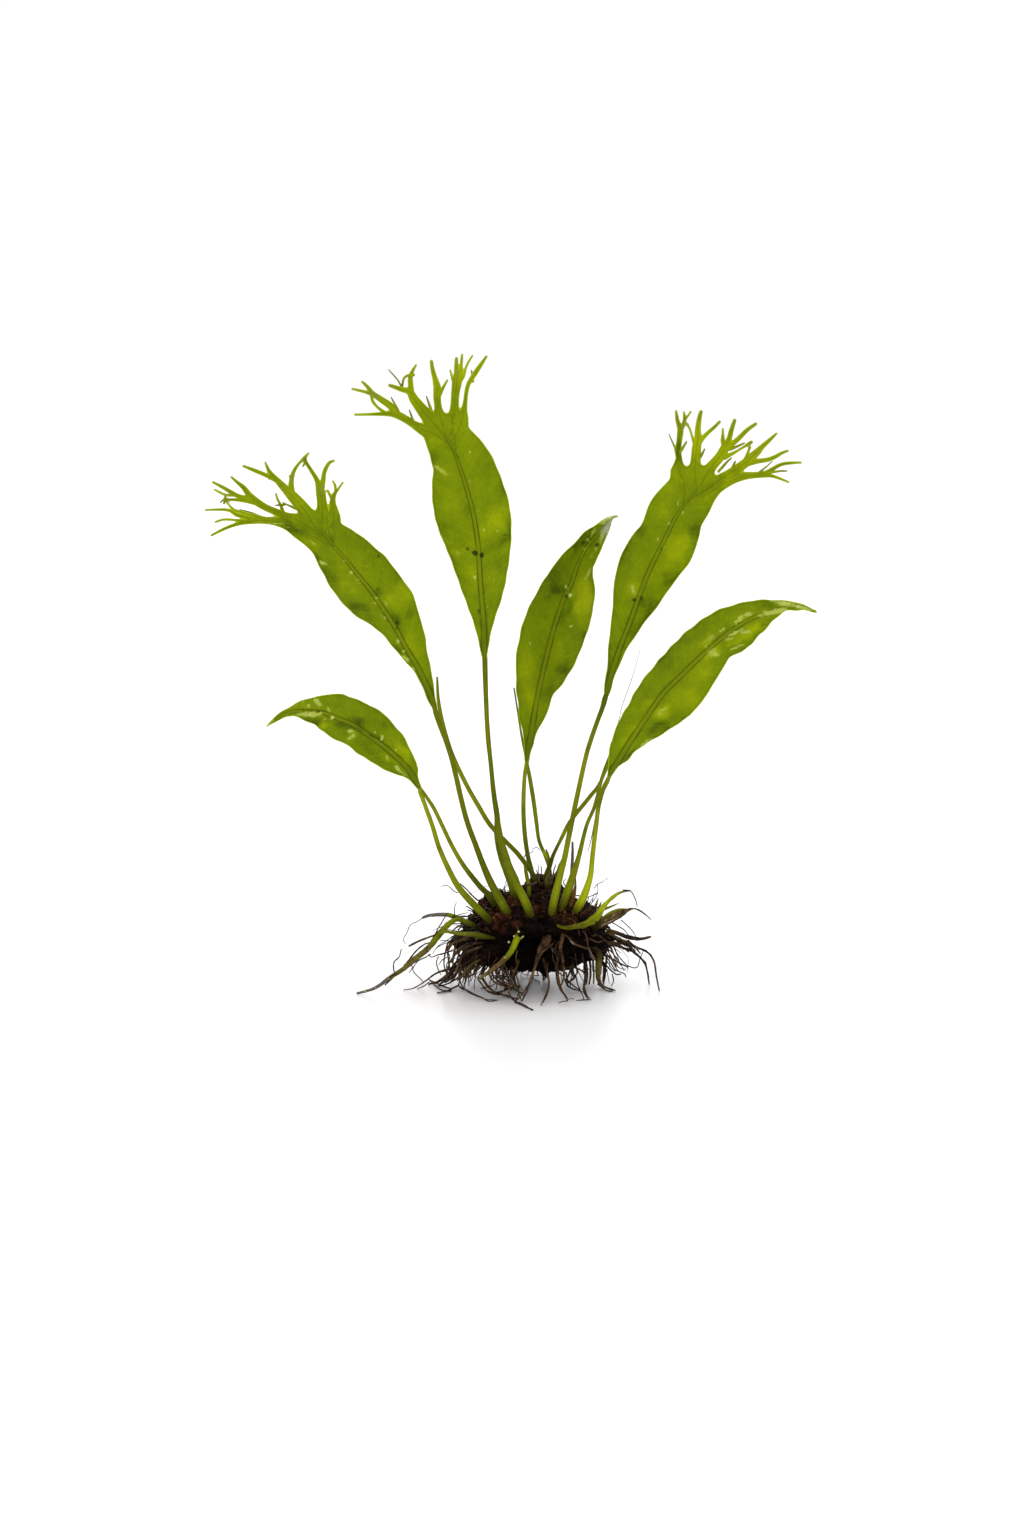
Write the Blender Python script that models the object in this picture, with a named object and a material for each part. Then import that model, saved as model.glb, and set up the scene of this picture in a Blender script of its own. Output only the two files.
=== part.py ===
# Java fern of the crested kind, lifted out of the water and standing on its own roots:
# six fronds, bare stalks, buds, runners, a rhizome clump and the main roots.
# Metres, +Z up, front towards -Y. The origin is on the surface that the plant rests on,
# at the middle of the clump's flat foot.

import math

import bmesh
import bpy
import numpy as np
from mathutils import Vector, noise
from mathutils.geometry import delaunay_2d_cdt

MM = 0.001

# The plant's lines are laid out as it is seen from the front, from a little above.
# Each point is (across, up, depth) in mm on a sheet held square to that line of sight;
# depth is the real distance back from the middle of the clump, negative towards the front.
SIGHT_DOWN = math.radians(9)
SIGHT_DISTANCE = 1200.0
SIGHT_ACROSS = -7.84
SIGHT_UP = 60.76
SIGHT_AIM_HEIGHT = 62.0
FOOT_DEPTH = 9.0

# Fronds
BLADE_THICKNESS = 0.62
FIELD_CELL = 0.4
OUTLINE_STEP = 2.0
FILLET = 0.35
OUTLINE_TOLERANCE = 0.36
OUTLINE_MARGIN = 13.0
INNER_POINT_SPACING = 7.0
INNER_POINT_MARGIN = 2.0
LEAN_REACH = 24.0
BLEND_WIDTH = 1.1
BLEND_DEPTH = 4.0
MIDRIB_BASE = 0.66
MIDRIB_TAPER = 0.26

# Tubes
STALK_SIDES = 6
STALK_STEP = 9.0
ROOT_SIDES = 5
ROOT_STEP = 5.0
SOCKET_GAP = 0.34

# Clump
CLUMP_CENTRE = (-2.0, -FOOT_DEPTH, 15.6)
CLUMP_HALF = (20.5, 18.0, 9.6)
CLUMP_SQUARENESS = 2.5
CLUMP_LUMPS = 0.12
CLUMP_GRAIN = 0.09
# Knobs: direction from the middle, spread, height. The last one is the foot.
CLUMP_KNOBS = [((-0.50, 0.20, 0.84), 0.34, 0.12), ((0.10, 0.38, 0.90), 0.25, 0.62),
               ((0.70, 0.10, 0.66), 0.34, -0.10), ((-0.95, -0.25, 0.15), 0.40, 0.06),
               ((0.10, -0.98, 0.15), 0.45, 0.06), ((0.96, 0.20, 0.05), 0.36, 0.05),
               ((-0.30, 0.95, 0.20), 0.40, 0.06), ((0.06, 0.32, -0.95), 0.30, 1.10)]
FLOOR_CUT_WIDTH = 90.0
FLOOR_CUT_DEPTH = 20.0

COLOURS = {
    "blade": (0.19, 0.27, 0.02, 1.0),
    "crest": (0.30, 0.38, 0.03, 1.0),
    "stalk": (0.22, 0.26, 0.03, 1.0),
    "runner": (0.24, 0.26, 0.05, 1.0),
    "dead": (0.07, 0.035, 0.018, 1.0),
    "clump": (0.03, 0.014, 0.010, 1.0),
    "root": (0.05, 0.028, 0.018, 1.0),
}

# Blades: stations along the midrib, base to tip, as
# (across, up, width on the left hand, width on the right hand, depth).
# A crested blade also has fingers; each is a main strand and its side strands as
# (across, up, half width), and lean says how far the finger's end bends back.
FRONDS = {
    "plain_frond_left": {
        "stalk": [(-33.8, 54.0, -20.0, 0.6), (-32.1, 50.1, -19.2, 0.6), (-30.1, 44.5, -18.0, 0.62),
                  (-28.4, 38.9, -16.8, 0.66), (-26.0, 33.3, -15.6, 0.74),
                  (-23.0, 27.7, -14.6, 0.86), (-18.8, 22.8, -13.6, 1.0),
                  (-14.0, 17.9, -12.4, 1.05), (-11.2, 15.4, -10.6, 1.0)],
        "blade": [(-33.4, 54.6, 0.6, 0.6, -20.0), (-34.0, 56.1, 0.8, 0.8, -20.3),
                  (-37.7, 61.4, 3.2, 3.2, -22.0), (-42.6, 65.9, 5.5, 5.7, -24.5),
                  (-47.5, 69.6, 5.8, 7.2, -27.0), (-52.4, 72.9, 5.9, 7.1, -29.5),
                  (-56.6, 74.6, 5.5, 6.8, -31.5), (-60.6, 76.2, 4.1, 5.1, -33.0),
                  (-64.8, 76.6, 2.9, 3.5, -34.5), (-68.9, 76.6, 1.4, 1.9, -36.0),
                  (-73.0, 75.0, 0.6, 0.9, -37.3), (-76.3, 72.4, 0.35, 0.35, -38.0)],
        "tilt": 0.30,
        "cup": -0.018,
        "fingers": [],
    },
    "plain_frond_middle": {
        "stalk": [(-3.6, 63.0, 14.0, 0.56), (-4.3, 58.5, 13.6, 0.58), (-4.6, 52.9, 13.0, 0.62),
                  (-4.6, 47.3, 12.2, 0.64), (-4.2, 41.7, 11.4, 0.66), (-3.4, 36.1, 10.6, 0.66),
                  (-2.2, 31.2, 9.8, 0.74), (-1.6, 26.5, 9.2, 0.76)],
        "blade": [(-3.5, 62.4, 0.6, 0.6, 14.0), (-3.2, 65.0, 1.0, 0.8, 14.3),
                  (-2.5, 70.0, 2.3, 1.2, 15.0), (-1.4, 77.0, 4.7, 3.3, 16.0),
                  (0.0, 84.1, 6.7, 4.7, 17.0), (1.8, 91.8, 8.4, 8.0, 18.2),
                  (4.1, 100.6, 8.7, 9.3, 19.6), (6.5, 107.7, 7.7, 8.7, 20.8),
                  (8.8, 112.4, 7.1, 6.4, 21.7), (10.6, 117.7, 5.1, 4.3, 22.6),
                  (13.0, 122.4, 3.4, 4.1, 23.3), (15.9, 125.9, 2.7, 2.6, 23.7),
                  (18.8, 129.1, 1.6, 0.9, 24.0), (21.6, 131.3, 0.35, 0.35, 24.2)],
        "tilt": -0.38,
        "cup": 0.020,
        "fingers": [],
    },
    "plain_frond_right": {
        "stalk": [(19.0, 60.5, -18.0, 0.64), (17.9, 55.7, -17.2, 0.64), (16.4, 50.1, -16.2, 0.64),
                  (15.7, 44.5, -15.2, 0.66), (14.7, 36.1, -13.8, 0.68), (14.1, 30.5, -12.9, 0.8),
                  (12.3, 24.9, -12.0, 1.1), (10.6, 21.6, -11.4, 1.15), (8.4, 16.4, -9.6, 1.0)],
        "blade": [(19.0, 58.0, 0.6, 0.6, -18.0), (20.1, 60.6, 1.6, 0.8, -18.3),
                  (24.9, 67.6, 5.1, 2.9, -19.6), (29.7, 74.8, 6.3, 6.2, -21.2),
                  (34.5, 81.6, 6.9, 9.5, -23.0), (39.3, 86.4, 7.6, 9.1, -24.6),
                  (44.2, 91.2, 7.9, 7.3, -26.3), (49.0, 95.6, 7.7, 5.8, -27.8),
                  (53.8, 99.4, 6.7, 6.5, -29.3), (58.6, 102.3, 5.1, 5.2, -30.6),
                  (63.5, 104.2, 3.8, 2.8, -31.8), (68.3, 105.7, 2.0, 1.3, -32.8),
                  (73.1, 105.9, 0.9, 1.0, -33.6), (77.2, 104.6, 0.35, 0.35, -34.0)],
        "tilt": -0.32,
        "cup": -0.014,
        "fingers": [],
    },
    "crested_frond_left": {
        "stalk": [(-30.0, 78.1, -3.2, 0.7), (-27.9, 72.5, -4.4, 0.7), (-25.8, 66.9, -5.8, 0.7),
                  (-24.2, 61.3, -7.2, 0.7), (-21.6, 50.1, -9.8, 0.72), (-20.0, 44.5, -10.8, 0.74),
                  (-17.9, 38.9, -11.6, 0.78), (-15.8, 33.3, -12.2, 0.88),
                  (-13.3, 27.7, -12.8, 1.05), (-10.2, 22.1, -13.0, 1.2), (-7.4, 16.6, -11.4, 1.05)],
        "blade": [(-28.6, 77.2, 0.7, 0.6, -3.2), (-30.2, 81.4, 1.3, 1.4, -2.6),
                  (-34.0, 88.5, 1.6, 3.4, -1.4), (-37.4, 94.2, 2.8, 5.9, -0.2),
                  (-40.7, 100.4, 4.0, 7.5, 1.2), (-43.6, 104.9, 5.6, 9.1, 2.2),
                  (-47.3, 110.3, 8.1, 9.2, 3.6), (-51.0, 114.8, 8.2, 9.0, 5.0),
                  (-54.2, 118.9, 7.6, 8.1, 6.2), (-57.5, 122.6, 6.2, 6.8, 7.4),
                  (-59.6, 125.4, 5.6, 5.4, 8.2), (-62.0, 128.2, 4.6, 4.4, 9.0)],
        "tilt": 0.34,
        "cup": 0.016,
        "fingers": [
            {"lean": -8.0,
             "strands": [
                 [(-62.5, 123.6, 2.4), (-69.7, 127.1, 2.2), (-79.2, 129.1, 1.7), (-84.6, 129.1, 1.3),
                  (-87.1, 128.0, 0.9), (-92.1, 125.4, 0.4)],
                 [(-84.0, 129.1, 1.1), (-89.6, 130.5, 0.7), (-91.6, 129.6, 0.4)],
                 [(-82.0, 129.9, 1.0), (-86.2, 132.7, 0.8), (-93.8, 133.0, 0.4)]]},
            {"lean": 5.0,
             "strands": [
                 [(-63.0, 126.8, 2.2), (-72.5, 131.6, 2.0), (-79.2, 134.3, 1.7), (-82.3, 136.4, 1.4),
                  (-85.8, 137.8, 1.1), (-91.6, 140.8, 0.4)],
                 [(-81.5, 135.8, 1.1), (-82.6, 138.3, 1.0), (-84.6, 140.8, 0.7), (-86.5, 142.5, 0.4)],
                 [(-72.0, 132.4, 0.8), (-73.1, 134.7, 0.6), (-73.9, 137.3, 0.4)]]},
            {"lean": -3.0,
             "strands": [
                 [(-61.6, 126.4, 2.4), (-67.1, 131.6, 2.0), (-69.7, 135.2, 1.7), (-72.5, 139.2, 1.4),
                  (-74.2, 140.8, 1.3), (-77.8, 142.8, 1.0), (-83.2, 145.3, 0.4)],
                 [(-73.9, 140.6, 1.1), (-74.8, 143.6, 0.8), (-76.7, 146.6, 0.4)],
                 [(-70.6, 136.9, 1.3), (-70.5, 139.7, 1.1), (-70.1, 142.8, 0.9), (-69.2, 145.6, 0.6),
                  (-68.6, 147.3, 0.4)]]},
            {"lean": 7.0,
             "strands": [
                 [(-60.0, 126.6, 2.4), (-61.5, 133.8, 1.7), (-61.9, 137.8, 1.5), (-63.4, 141.7, 1.2),
                  (-64.9, 145.2, 0.8), (-65.2, 148.8, 0.4)],
                 [(-61.6, 138.0, 1.3), (-60.8, 141.1, 1.1), (-59.6, 145.0, 1.0), (-57.8, 146.9, 0.4)]]},
            {"lean": -4.0,
             "strands": [
                 [(-57.6, 126.0, 2.0), (-58.0, 133.0, 1.4), (-57.6, 136.1, 1.2), (-56.3, 138.9, 0.7),
                  (-55.0, 140.8, 0.4)],
                 [(-57.4, 136.4, 0.9), (-57.3, 138.6, 0.7), (-58.2, 141.2, 0.4)]]},
        ],
    },
    "crested_frond_middle": {
        "stalk": [(-15.4, 94.0, -10.0, 0.6), (-15.1, 79.8, -10.6, 0.6), (-14.6, 69.7, -11.2, 0.6),
                  (-13.7, 61.3, -11.8, 0.62), (-12.9, 52.9, -12.3, 0.66),
                  (-11.1, 41.7, -13.0, 0.78), (-9.5, 36.1, -13.4, 0.9), (-7.7, 30.5, -13.8, 1.05),
                  (-4.2, 23.5, -14.2, 1.2), (-2.8, 19.9, -13.8, 1.2), (-1.2, 15.2, -12.0, 1.1)],
        "blade": [(-15.4, 91.0, 0.7, 0.7, -10.0), (-15.5, 94.4, 1.1, 1.2, -9.8),
                  (-15.8, 102.2, 3.0, 2.9, -9.2), (-16.7, 112.8, 5.7, 6.9, -8.2),
                  (-17.3, 122.8, 8.6, 9.1, -7.2), (-18.6, 131.5, 10.5, 10.3, -6.4),
                  (-20.4, 138.4, 9.9, 10.2, -5.7), (-22.3, 144.6, 7.8, 9.4, -5.0),
                  (-24.2, 149.7, 7.0, 7.5, -4.5), (-26.4, 153.8, 6.0, 6.2, -4.0)],
        "tilt": 0.16,
        "cup": -0.022,
        "fingers": [
            {"lean": -6.0,
             "strands": [
                 [(-27.0, 151.5, 3.0), (-32.6, 154.9, 2.4), (-37.0, 157.6, 2.1), (-41.2, 160.2, 1.7),
                  (-45.1, 160.6, 1.3), (-52.1, 159.9, 0.4)],
                 [(-41.2, 160.4, 1.4), (-43.1, 162.7, 1.3), (-46.5, 165.8, 1.0), (-52.9, 166.9, 0.4)],
                 [(-45.6, 164.9, 1.0), (-50.1, 169.1, 0.4)]]},
            {"lean": 4.0,
             "strands": [
                 [(-27.6, 153.6, 2.8), (-31.9, 159.8, 2.1), (-35.8, 163.9, 1.6), (-39.2, 166.3, 1.1),
                  (-42.3, 168.0, 0.4)],
                 [(-35.3, 163.5, 1.4), (-35.8, 168.6, 1.1), (-34.7, 173.6, 0.4)]]},
            {"lean": -8.0,
             "strands": [
                 [(-26.9, 153.6, 2.5), (-28.6, 160.6, 2.0), (-29.1, 167.2, 1.5), (-30.2, 174.7, 0.4)],
                 [(-28.6, 163.2, 1.1), (-27.4, 166.3, 1.0), (-26.0, 169.4, 0.4)]]},
            {"lean": 5.0,
             "strands": [
                 [(-25.2, 153.6, 2.3), (-24.4, 161.0, 1.9), (-23.6, 168.6, 1.3), (-23.4, 175.8, 0.4)],
                 [(-23.6, 165.0, 1.4), (-21.3, 172.5, 0.9), (-18.9, 176.4, 0.4)]]},
            {"lean": -5.0,
             "strands": [
                 [(-23.4, 153.4, 2.4), (-21.4, 160.8, 1.6), (-20.1, 165.6, 1.4), (-17.6, 170.2, 1.1),
                  (-14.8, 176.3, 0.4)]]},
        ],
    },
    "crested_frond_right": {
        "stalk": [(19.2, 85.4, 1.8, 0.64), (18.1, 80.9, 0.6, 0.64), (16.5, 75.3, -0.8, 0.66),
                  (14.6, 69.7, -2.4, 0.66), (12.9, 64.1, -4.0, 0.66), (10.4, 52.9, -6.8, 0.7),
                  (8.1, 41.7, -9.6, 0.76), (7.0, 36.1, -10.8, 0.8), (5.6, 30.5, -11.9, 0.92),
                  (4.1, 24.4, -12.8, 1.1), (3.1, 18.8, -12.8, 1.2), (2.8, 14.6, -11.4, 1.05)],
        "blade": [(18.5, 84.6, 0.6, 0.8, 1.6), (19.6, 87.6, 1.2, 1.2, 2.6),
                  (22.6, 94.9, 3.5, 1.9, 3.8), (25.6, 102.7, 5.7, 3.8, 5.0),
                  (27.7, 108.7, 7.4, 5.6, 6.0), (29.8, 114.2, 8.8, 7.2, 7.0),
                  (32.4, 119.8, 8.8, 8.5, 8.0), (35.0, 124.9, 7.9, 9.0, 9.0),
                  (38.0, 131.0, 8.2, 7.7, 10.2), (41.4, 135.7, 7.8, 6.9, 11.2),
                  (44.0, 139.0, 6.8, 6.0, 12.0)],
        "tilt": -0.30,
        "cup": -0.016,
        "fingers": [
            {"lean": -6.0,
             "strands": [
                 [(41.2, 137.6, 2.8), (39.4, 145.3, 2.0), (38.9, 150.1, 1.6), (38.6, 153.7, 1.1),
                  (38.1, 160.7, 0.4)],
                 [(38.9, 151.6, 1.1), (39.8, 155.1, 1.0), (40.8, 158.2, 0.8), (41.0, 160.6, 0.4)],
                 [(38.6, 149.8, 1.0), (37.8, 151.2, 0.8), (36.1, 154.3, 0.4)]]},
            {"lean": 5.0,
             "strands": [
                 [(43.4, 137.8, 2.4), (43.4, 145.3, 1.8), (43.5, 150.4, 1.5), (44.2, 155.1, 1.0),
                  (45.4, 161.0, 0.4)],
                 [(43.7, 150.1, 1.2), (45.5, 153.2, 1.0), (47.6, 155.4, 0.7), (50.4, 157.9, 0.4)]]},
            {"lean": -5.0,
             "strands": [
                 [(45.0, 138.2, 2.4), (47.9, 144.8, 1.9), (51.0, 148.7, 1.6), (52.4, 151.2, 1.3),
                  (52.9, 154.3, 0.8), (54.9, 158.5, 0.4)],
                 [(52.6, 150.6, 1.1), (54.6, 151.8, 1.0), (60.8, 157.1, 0.4)],
                 [(52.1, 150.6, 1.0), (51.2, 153.2, 0.8), (51.2, 155.7, 0.4)]]},
            {"lean": 6.0,
             "strands": [
                 [(46.4, 137.6, 2.6), (52.9, 143.2, 1.9), (56.3, 145.9, 1.6), (59.5, 148.1, 1.5),
                  (61.9, 150.6, 1.0), (66.4, 154.4, 0.4)],
                 [(59.9, 147.8, 1.2), (63.8, 147.9, 1.0), (66.4, 148.7, 0.7), (69.4, 149.8, 0.4)],
                 [(57.1, 146.4, 0.9), (58.8, 150.6, 0.4)]]},
            {"lean": -4.0,
             "strands": [
                 [(46.4, 136.2, 2.6), (51.8, 139.6, 2.0), (56.3, 141.9, 1.6), (60.5, 143.1, 1.5),
                  (63.8, 143.9, 1.3), (66.9, 145.5, 0.9), (73.4, 146.4, 0.4)],
                 [(63.3, 143.2, 1.1), (65.4, 142.3, 0.9), (69.7, 140.8, 0.4)]]},
        ],
    },
}

# Stalks without a blade, young shoots and runners: (across, up, depth, half thickness),
# from the free end to the end that sits in the clump.
STEMS = {
    "bare_stalk_left_long": {
        "colour": "stalk",
        "route": [(-28.8, 86.2, 5.6, 0.3), (-28.4, 79.4, 5.8, 0.5), (-26.8, 71.6, 6.0, 0.58),
                  (-24.4, 64.1, 6.2, 0.62), (-20.4, 55.7, 6.2, 0.64), (-17.2, 50.1, 6.2, 0.66),
                  (-13.7, 44.5, 6.0, 0.66), (-8.3, 38.9, 5.8, 0.66), (-5.7, 36.1, 5.6, 0.68),
                  (-1.7, 30.5, 5.4, 0.72), (-0.8, 27.0, 5.2, 0.72)],
    },
    "bare_stalk_middle_back": {
        "colour": "stalk",
        "route": [(-15.2, 103.0, 3.4, 0.35), (-15.2, 90.0, 3.0, 0.55), (-14.9, 76.0, 2.4, 0.6),
                  (-13.8, 62.0, 1.6, 0.62), (-12.8, 53.0, 1.0, 0.66), (-12.0, 47.3, 0.6, 0.8),
                  (-11.8, 41.7, 0.2, 1.05), (-10.6, 36.1, -0.4, 1.2), (-8.7, 30.5, -1.0, 1.15),
                  (-7.7, 27.2, -1.5, 1.1), (-7.0, 22.6, -2.2, 1.0)],
    },
    "bare_stalk_left_low": {
        "colour": "stalk",
        "route": [(-37.0, 60.6, -13.6, 0.3), (-34.4, 56.4, -13.0, 0.42),
                  (-30.1, 50.1, -12.0, 0.54), (-27.3, 44.5, -11.0, 0.58), (-24.6, 38.9, -9.8, 0.6),
                  (-21.3, 33.3, -8.6, 0.66), (-16.9, 27.7, -7.0, 0.78), (-14.6, 25.4, -6.0, 0.84),
                  (-12.0, 21.4, -4.6, 0.84)],
    },
    "hair_tipped_stalk": {
        "colour": "stalk",
        "route": [(-7.3, 83.2, 22.0, 0.22), (-6.4, 77.6, 21.4, 0.26), (-5.2, 70.0, 20.4, 0.32),
                  (-4.0, 64.0, 19.4, 0.38), (-2.7, 55.7, 17.8, 0.44), (-1.7, 50.7, 16.6, 0.46),
                  (-1.0, 45.6, 15.2, 0.48), (-0.3, 40.6, 13.8, 0.52), (1.4, 36.4, 12.2, 0.56),
                  (2.5, 33.3, 11.2, 0.6), (3.0, 28.6, 10.0, 0.6)],
    },
    "bare_stalk_right_front": {
        "colour": "stalk",
        "route": [(21.0, 66.6, -12.8, 0.3), (17.9, 58.5, -11.6, 0.46), (15.3, 50.1, -10.0, 0.52),
                  (13.0, 44.5, -8.8, 0.54), (10.9, 36.1, -7.2, 0.7), (9.2, 30.5, -6.0, 1.0),
                  (8.1, 27.2, -5.4, 1.15), (6.4, 22.7, -4.6, 1.15), (5.6, 18.6, -4.0, 1.0)],
    },
    "bare_stalk_right_back": {
        "colour": "stalk",
        "route": [(21.0, 66.0, -6.0, 0.3), (16.8, 56.6, -4.2, 0.5), (14.1, 52.9, -3.0, 0.58),
                  (9.8, 47.6, -0.8, 0.6), (7.7, 44.5, 0.8, 0.6), (6.3, 41.7, 2.2, 0.56),
                  (4.9, 38.9, 3.6, 0.5), (3.6, 36.1, 4.6, 0.56), (2.7, 33.3, 5.2, 0.7),
                  (1.7, 30.6, 5.4, 0.74), (1.4, 27.4, 5.4, 0.74)],
    },
    "dead_stalk_stub": {
        "colour": "dead",
        "route": [(9.1, 40.0, 0.2, 0.3), (9.1, 36.0, 0.4, 0.42), (8.9, 31.0, 0.6, 0.5),
                  (8.5, 20.4, 1.2, 0.5)],
    },
    "leafy_bud": {
        "colour": "runner",
        "route": [(6.2, 35.0, 0.2, 0.3), (5.8, 33.4, 0.2, 0.7), (5.4, 31.2, 0.2, 0.9),
                  (5.0, 27.6, 0.1, 0.8), (4.7, 21.0, -0.3, 0.8)],
    },
    "pale_bud": {
        "colour": "runner",
        "route": [(-4.4, 33.6, -2.6, 0.25), (-3.9, 31.6, -2.4, 0.5), (-3.4, 29.0, -2.2, 0.56),
                  (-3.0, 25.0, -2.0, 0.56), (-2.8, 21.6, -1.8, 0.56)],
    },
    "runner_left_short": {
        "colour": "runner",
        "route": [(-32.8, 18.8, -15.6, 0.45), (-31.4, 19.4, -15.2, 0.6), (-28.8, 19.7, -14.4, 0.7),
                  (-26.6, 19.5, -13.6, 0.75), (-22.1, 18.5, -11.6, 0.85), (-17.4, 16.7, -9.4, 0.9),
                  (-14.6, 15.0, -7.0, 0.9)],
    },
    "runner_left_long": {
        "colour": "runner",
        "route": [(-51.2, -2.3, -13.0, 0.34), (-47.3, -1.3, -14.6, 0.4), (-44.8, 0.0, -16.4, 0.5),
                  (-42.6, 1.7, -17.8, 0.55), (-38.9, 3.9, -20.4, 0.6), (-35.4, 7.3, -20.8, 0.62),
                  (-32.2, 10.2, -20.4, 0.66), (-28.8, 13.6, -19.4, 0.7), (-25.4, 16.0, -17.4, 0.75),
                  (-20.4, 17.4, -13.6, 0.8), (-15.4, 18.8, -8.4, 0.8)],
    },
    "runner_left_side": {
        "colour": "runner",
        "route": [(-30.0, 12.2, -23.0, 0.34), (-27.0, 13.6, -22.4, 0.5), (-23.4, 14.5, -21.4, 0.55),
                  (-19.3, 14.5, -19.6, 0.6), (-14.2, 13.8, -17.0, 0.7), (-9.4, 13.3, -14.0, 0.7)],
    },
    "runner_front": {
        "colour": "runner",
        "route": [(-17.0, 1.9, -26.0, 0.35), (-14.3, 3.6, -25.4, 0.55), (-12.0, 5.3, -24.6, 0.65),
                  (-9.5, 7.6, -23.6, 0.72), (-7.8, 9.9, -22.6, 0.78), (-6.6, 12.6, -20.8, 0.9),
                  (-5.4, 15.2, -17.6, 0.95), (-4.6, 16.2, -13.4, 0.95)],
    },
    "runner_right": {
        "colour": "runner",
        "route": [(25.3, 26.4, -9.6, 0.32), (23.6, 26.5, -9.7, 0.4), (21.6, 25.4, -9.8, 0.55),
                  (19.4, 23.6, -9.9, 0.75), (17.2, 21.7, -10.0, 1.0), (14.6, 19.5, -9.6, 1.2),
                  (12.4, 17.4, -8.4, 1.15), (10.6, 15.4, -6.0, 0.95), (9.6, 14.2, -4.0, 0.85)],
    },
    "dead_leaf_base": {
        "colour": "dead",
        "route": [(31.1, 18.4, -12.6, 0.25), (28.0, 20.8, -12.6, 0.4), (24.7, 21.5, -12.4, 0.6),
                  (22.0, 20.6, -12.0, 0.75), (19.2, 18.0, -11.4, 0.9), (16.6, 15.6, -10.0, 0.9),
                  (14.0, 13.2, -8.0, 0.85)],
    },
    "olive_strand": {
        "colour": "runner",
        "route": [(19.8, -0.9, -6.3, 0.35), (17.6, 0.6, -9.8, 0.6), (16.4, 3.4, -12.4, 0.75),
                  (16.5, 6.2, -14.0, 0.8), (16.2, 9.4, -12.6, 0.8), (12.4, 11.2, -7.0, 0.8)],
    },
}

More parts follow.
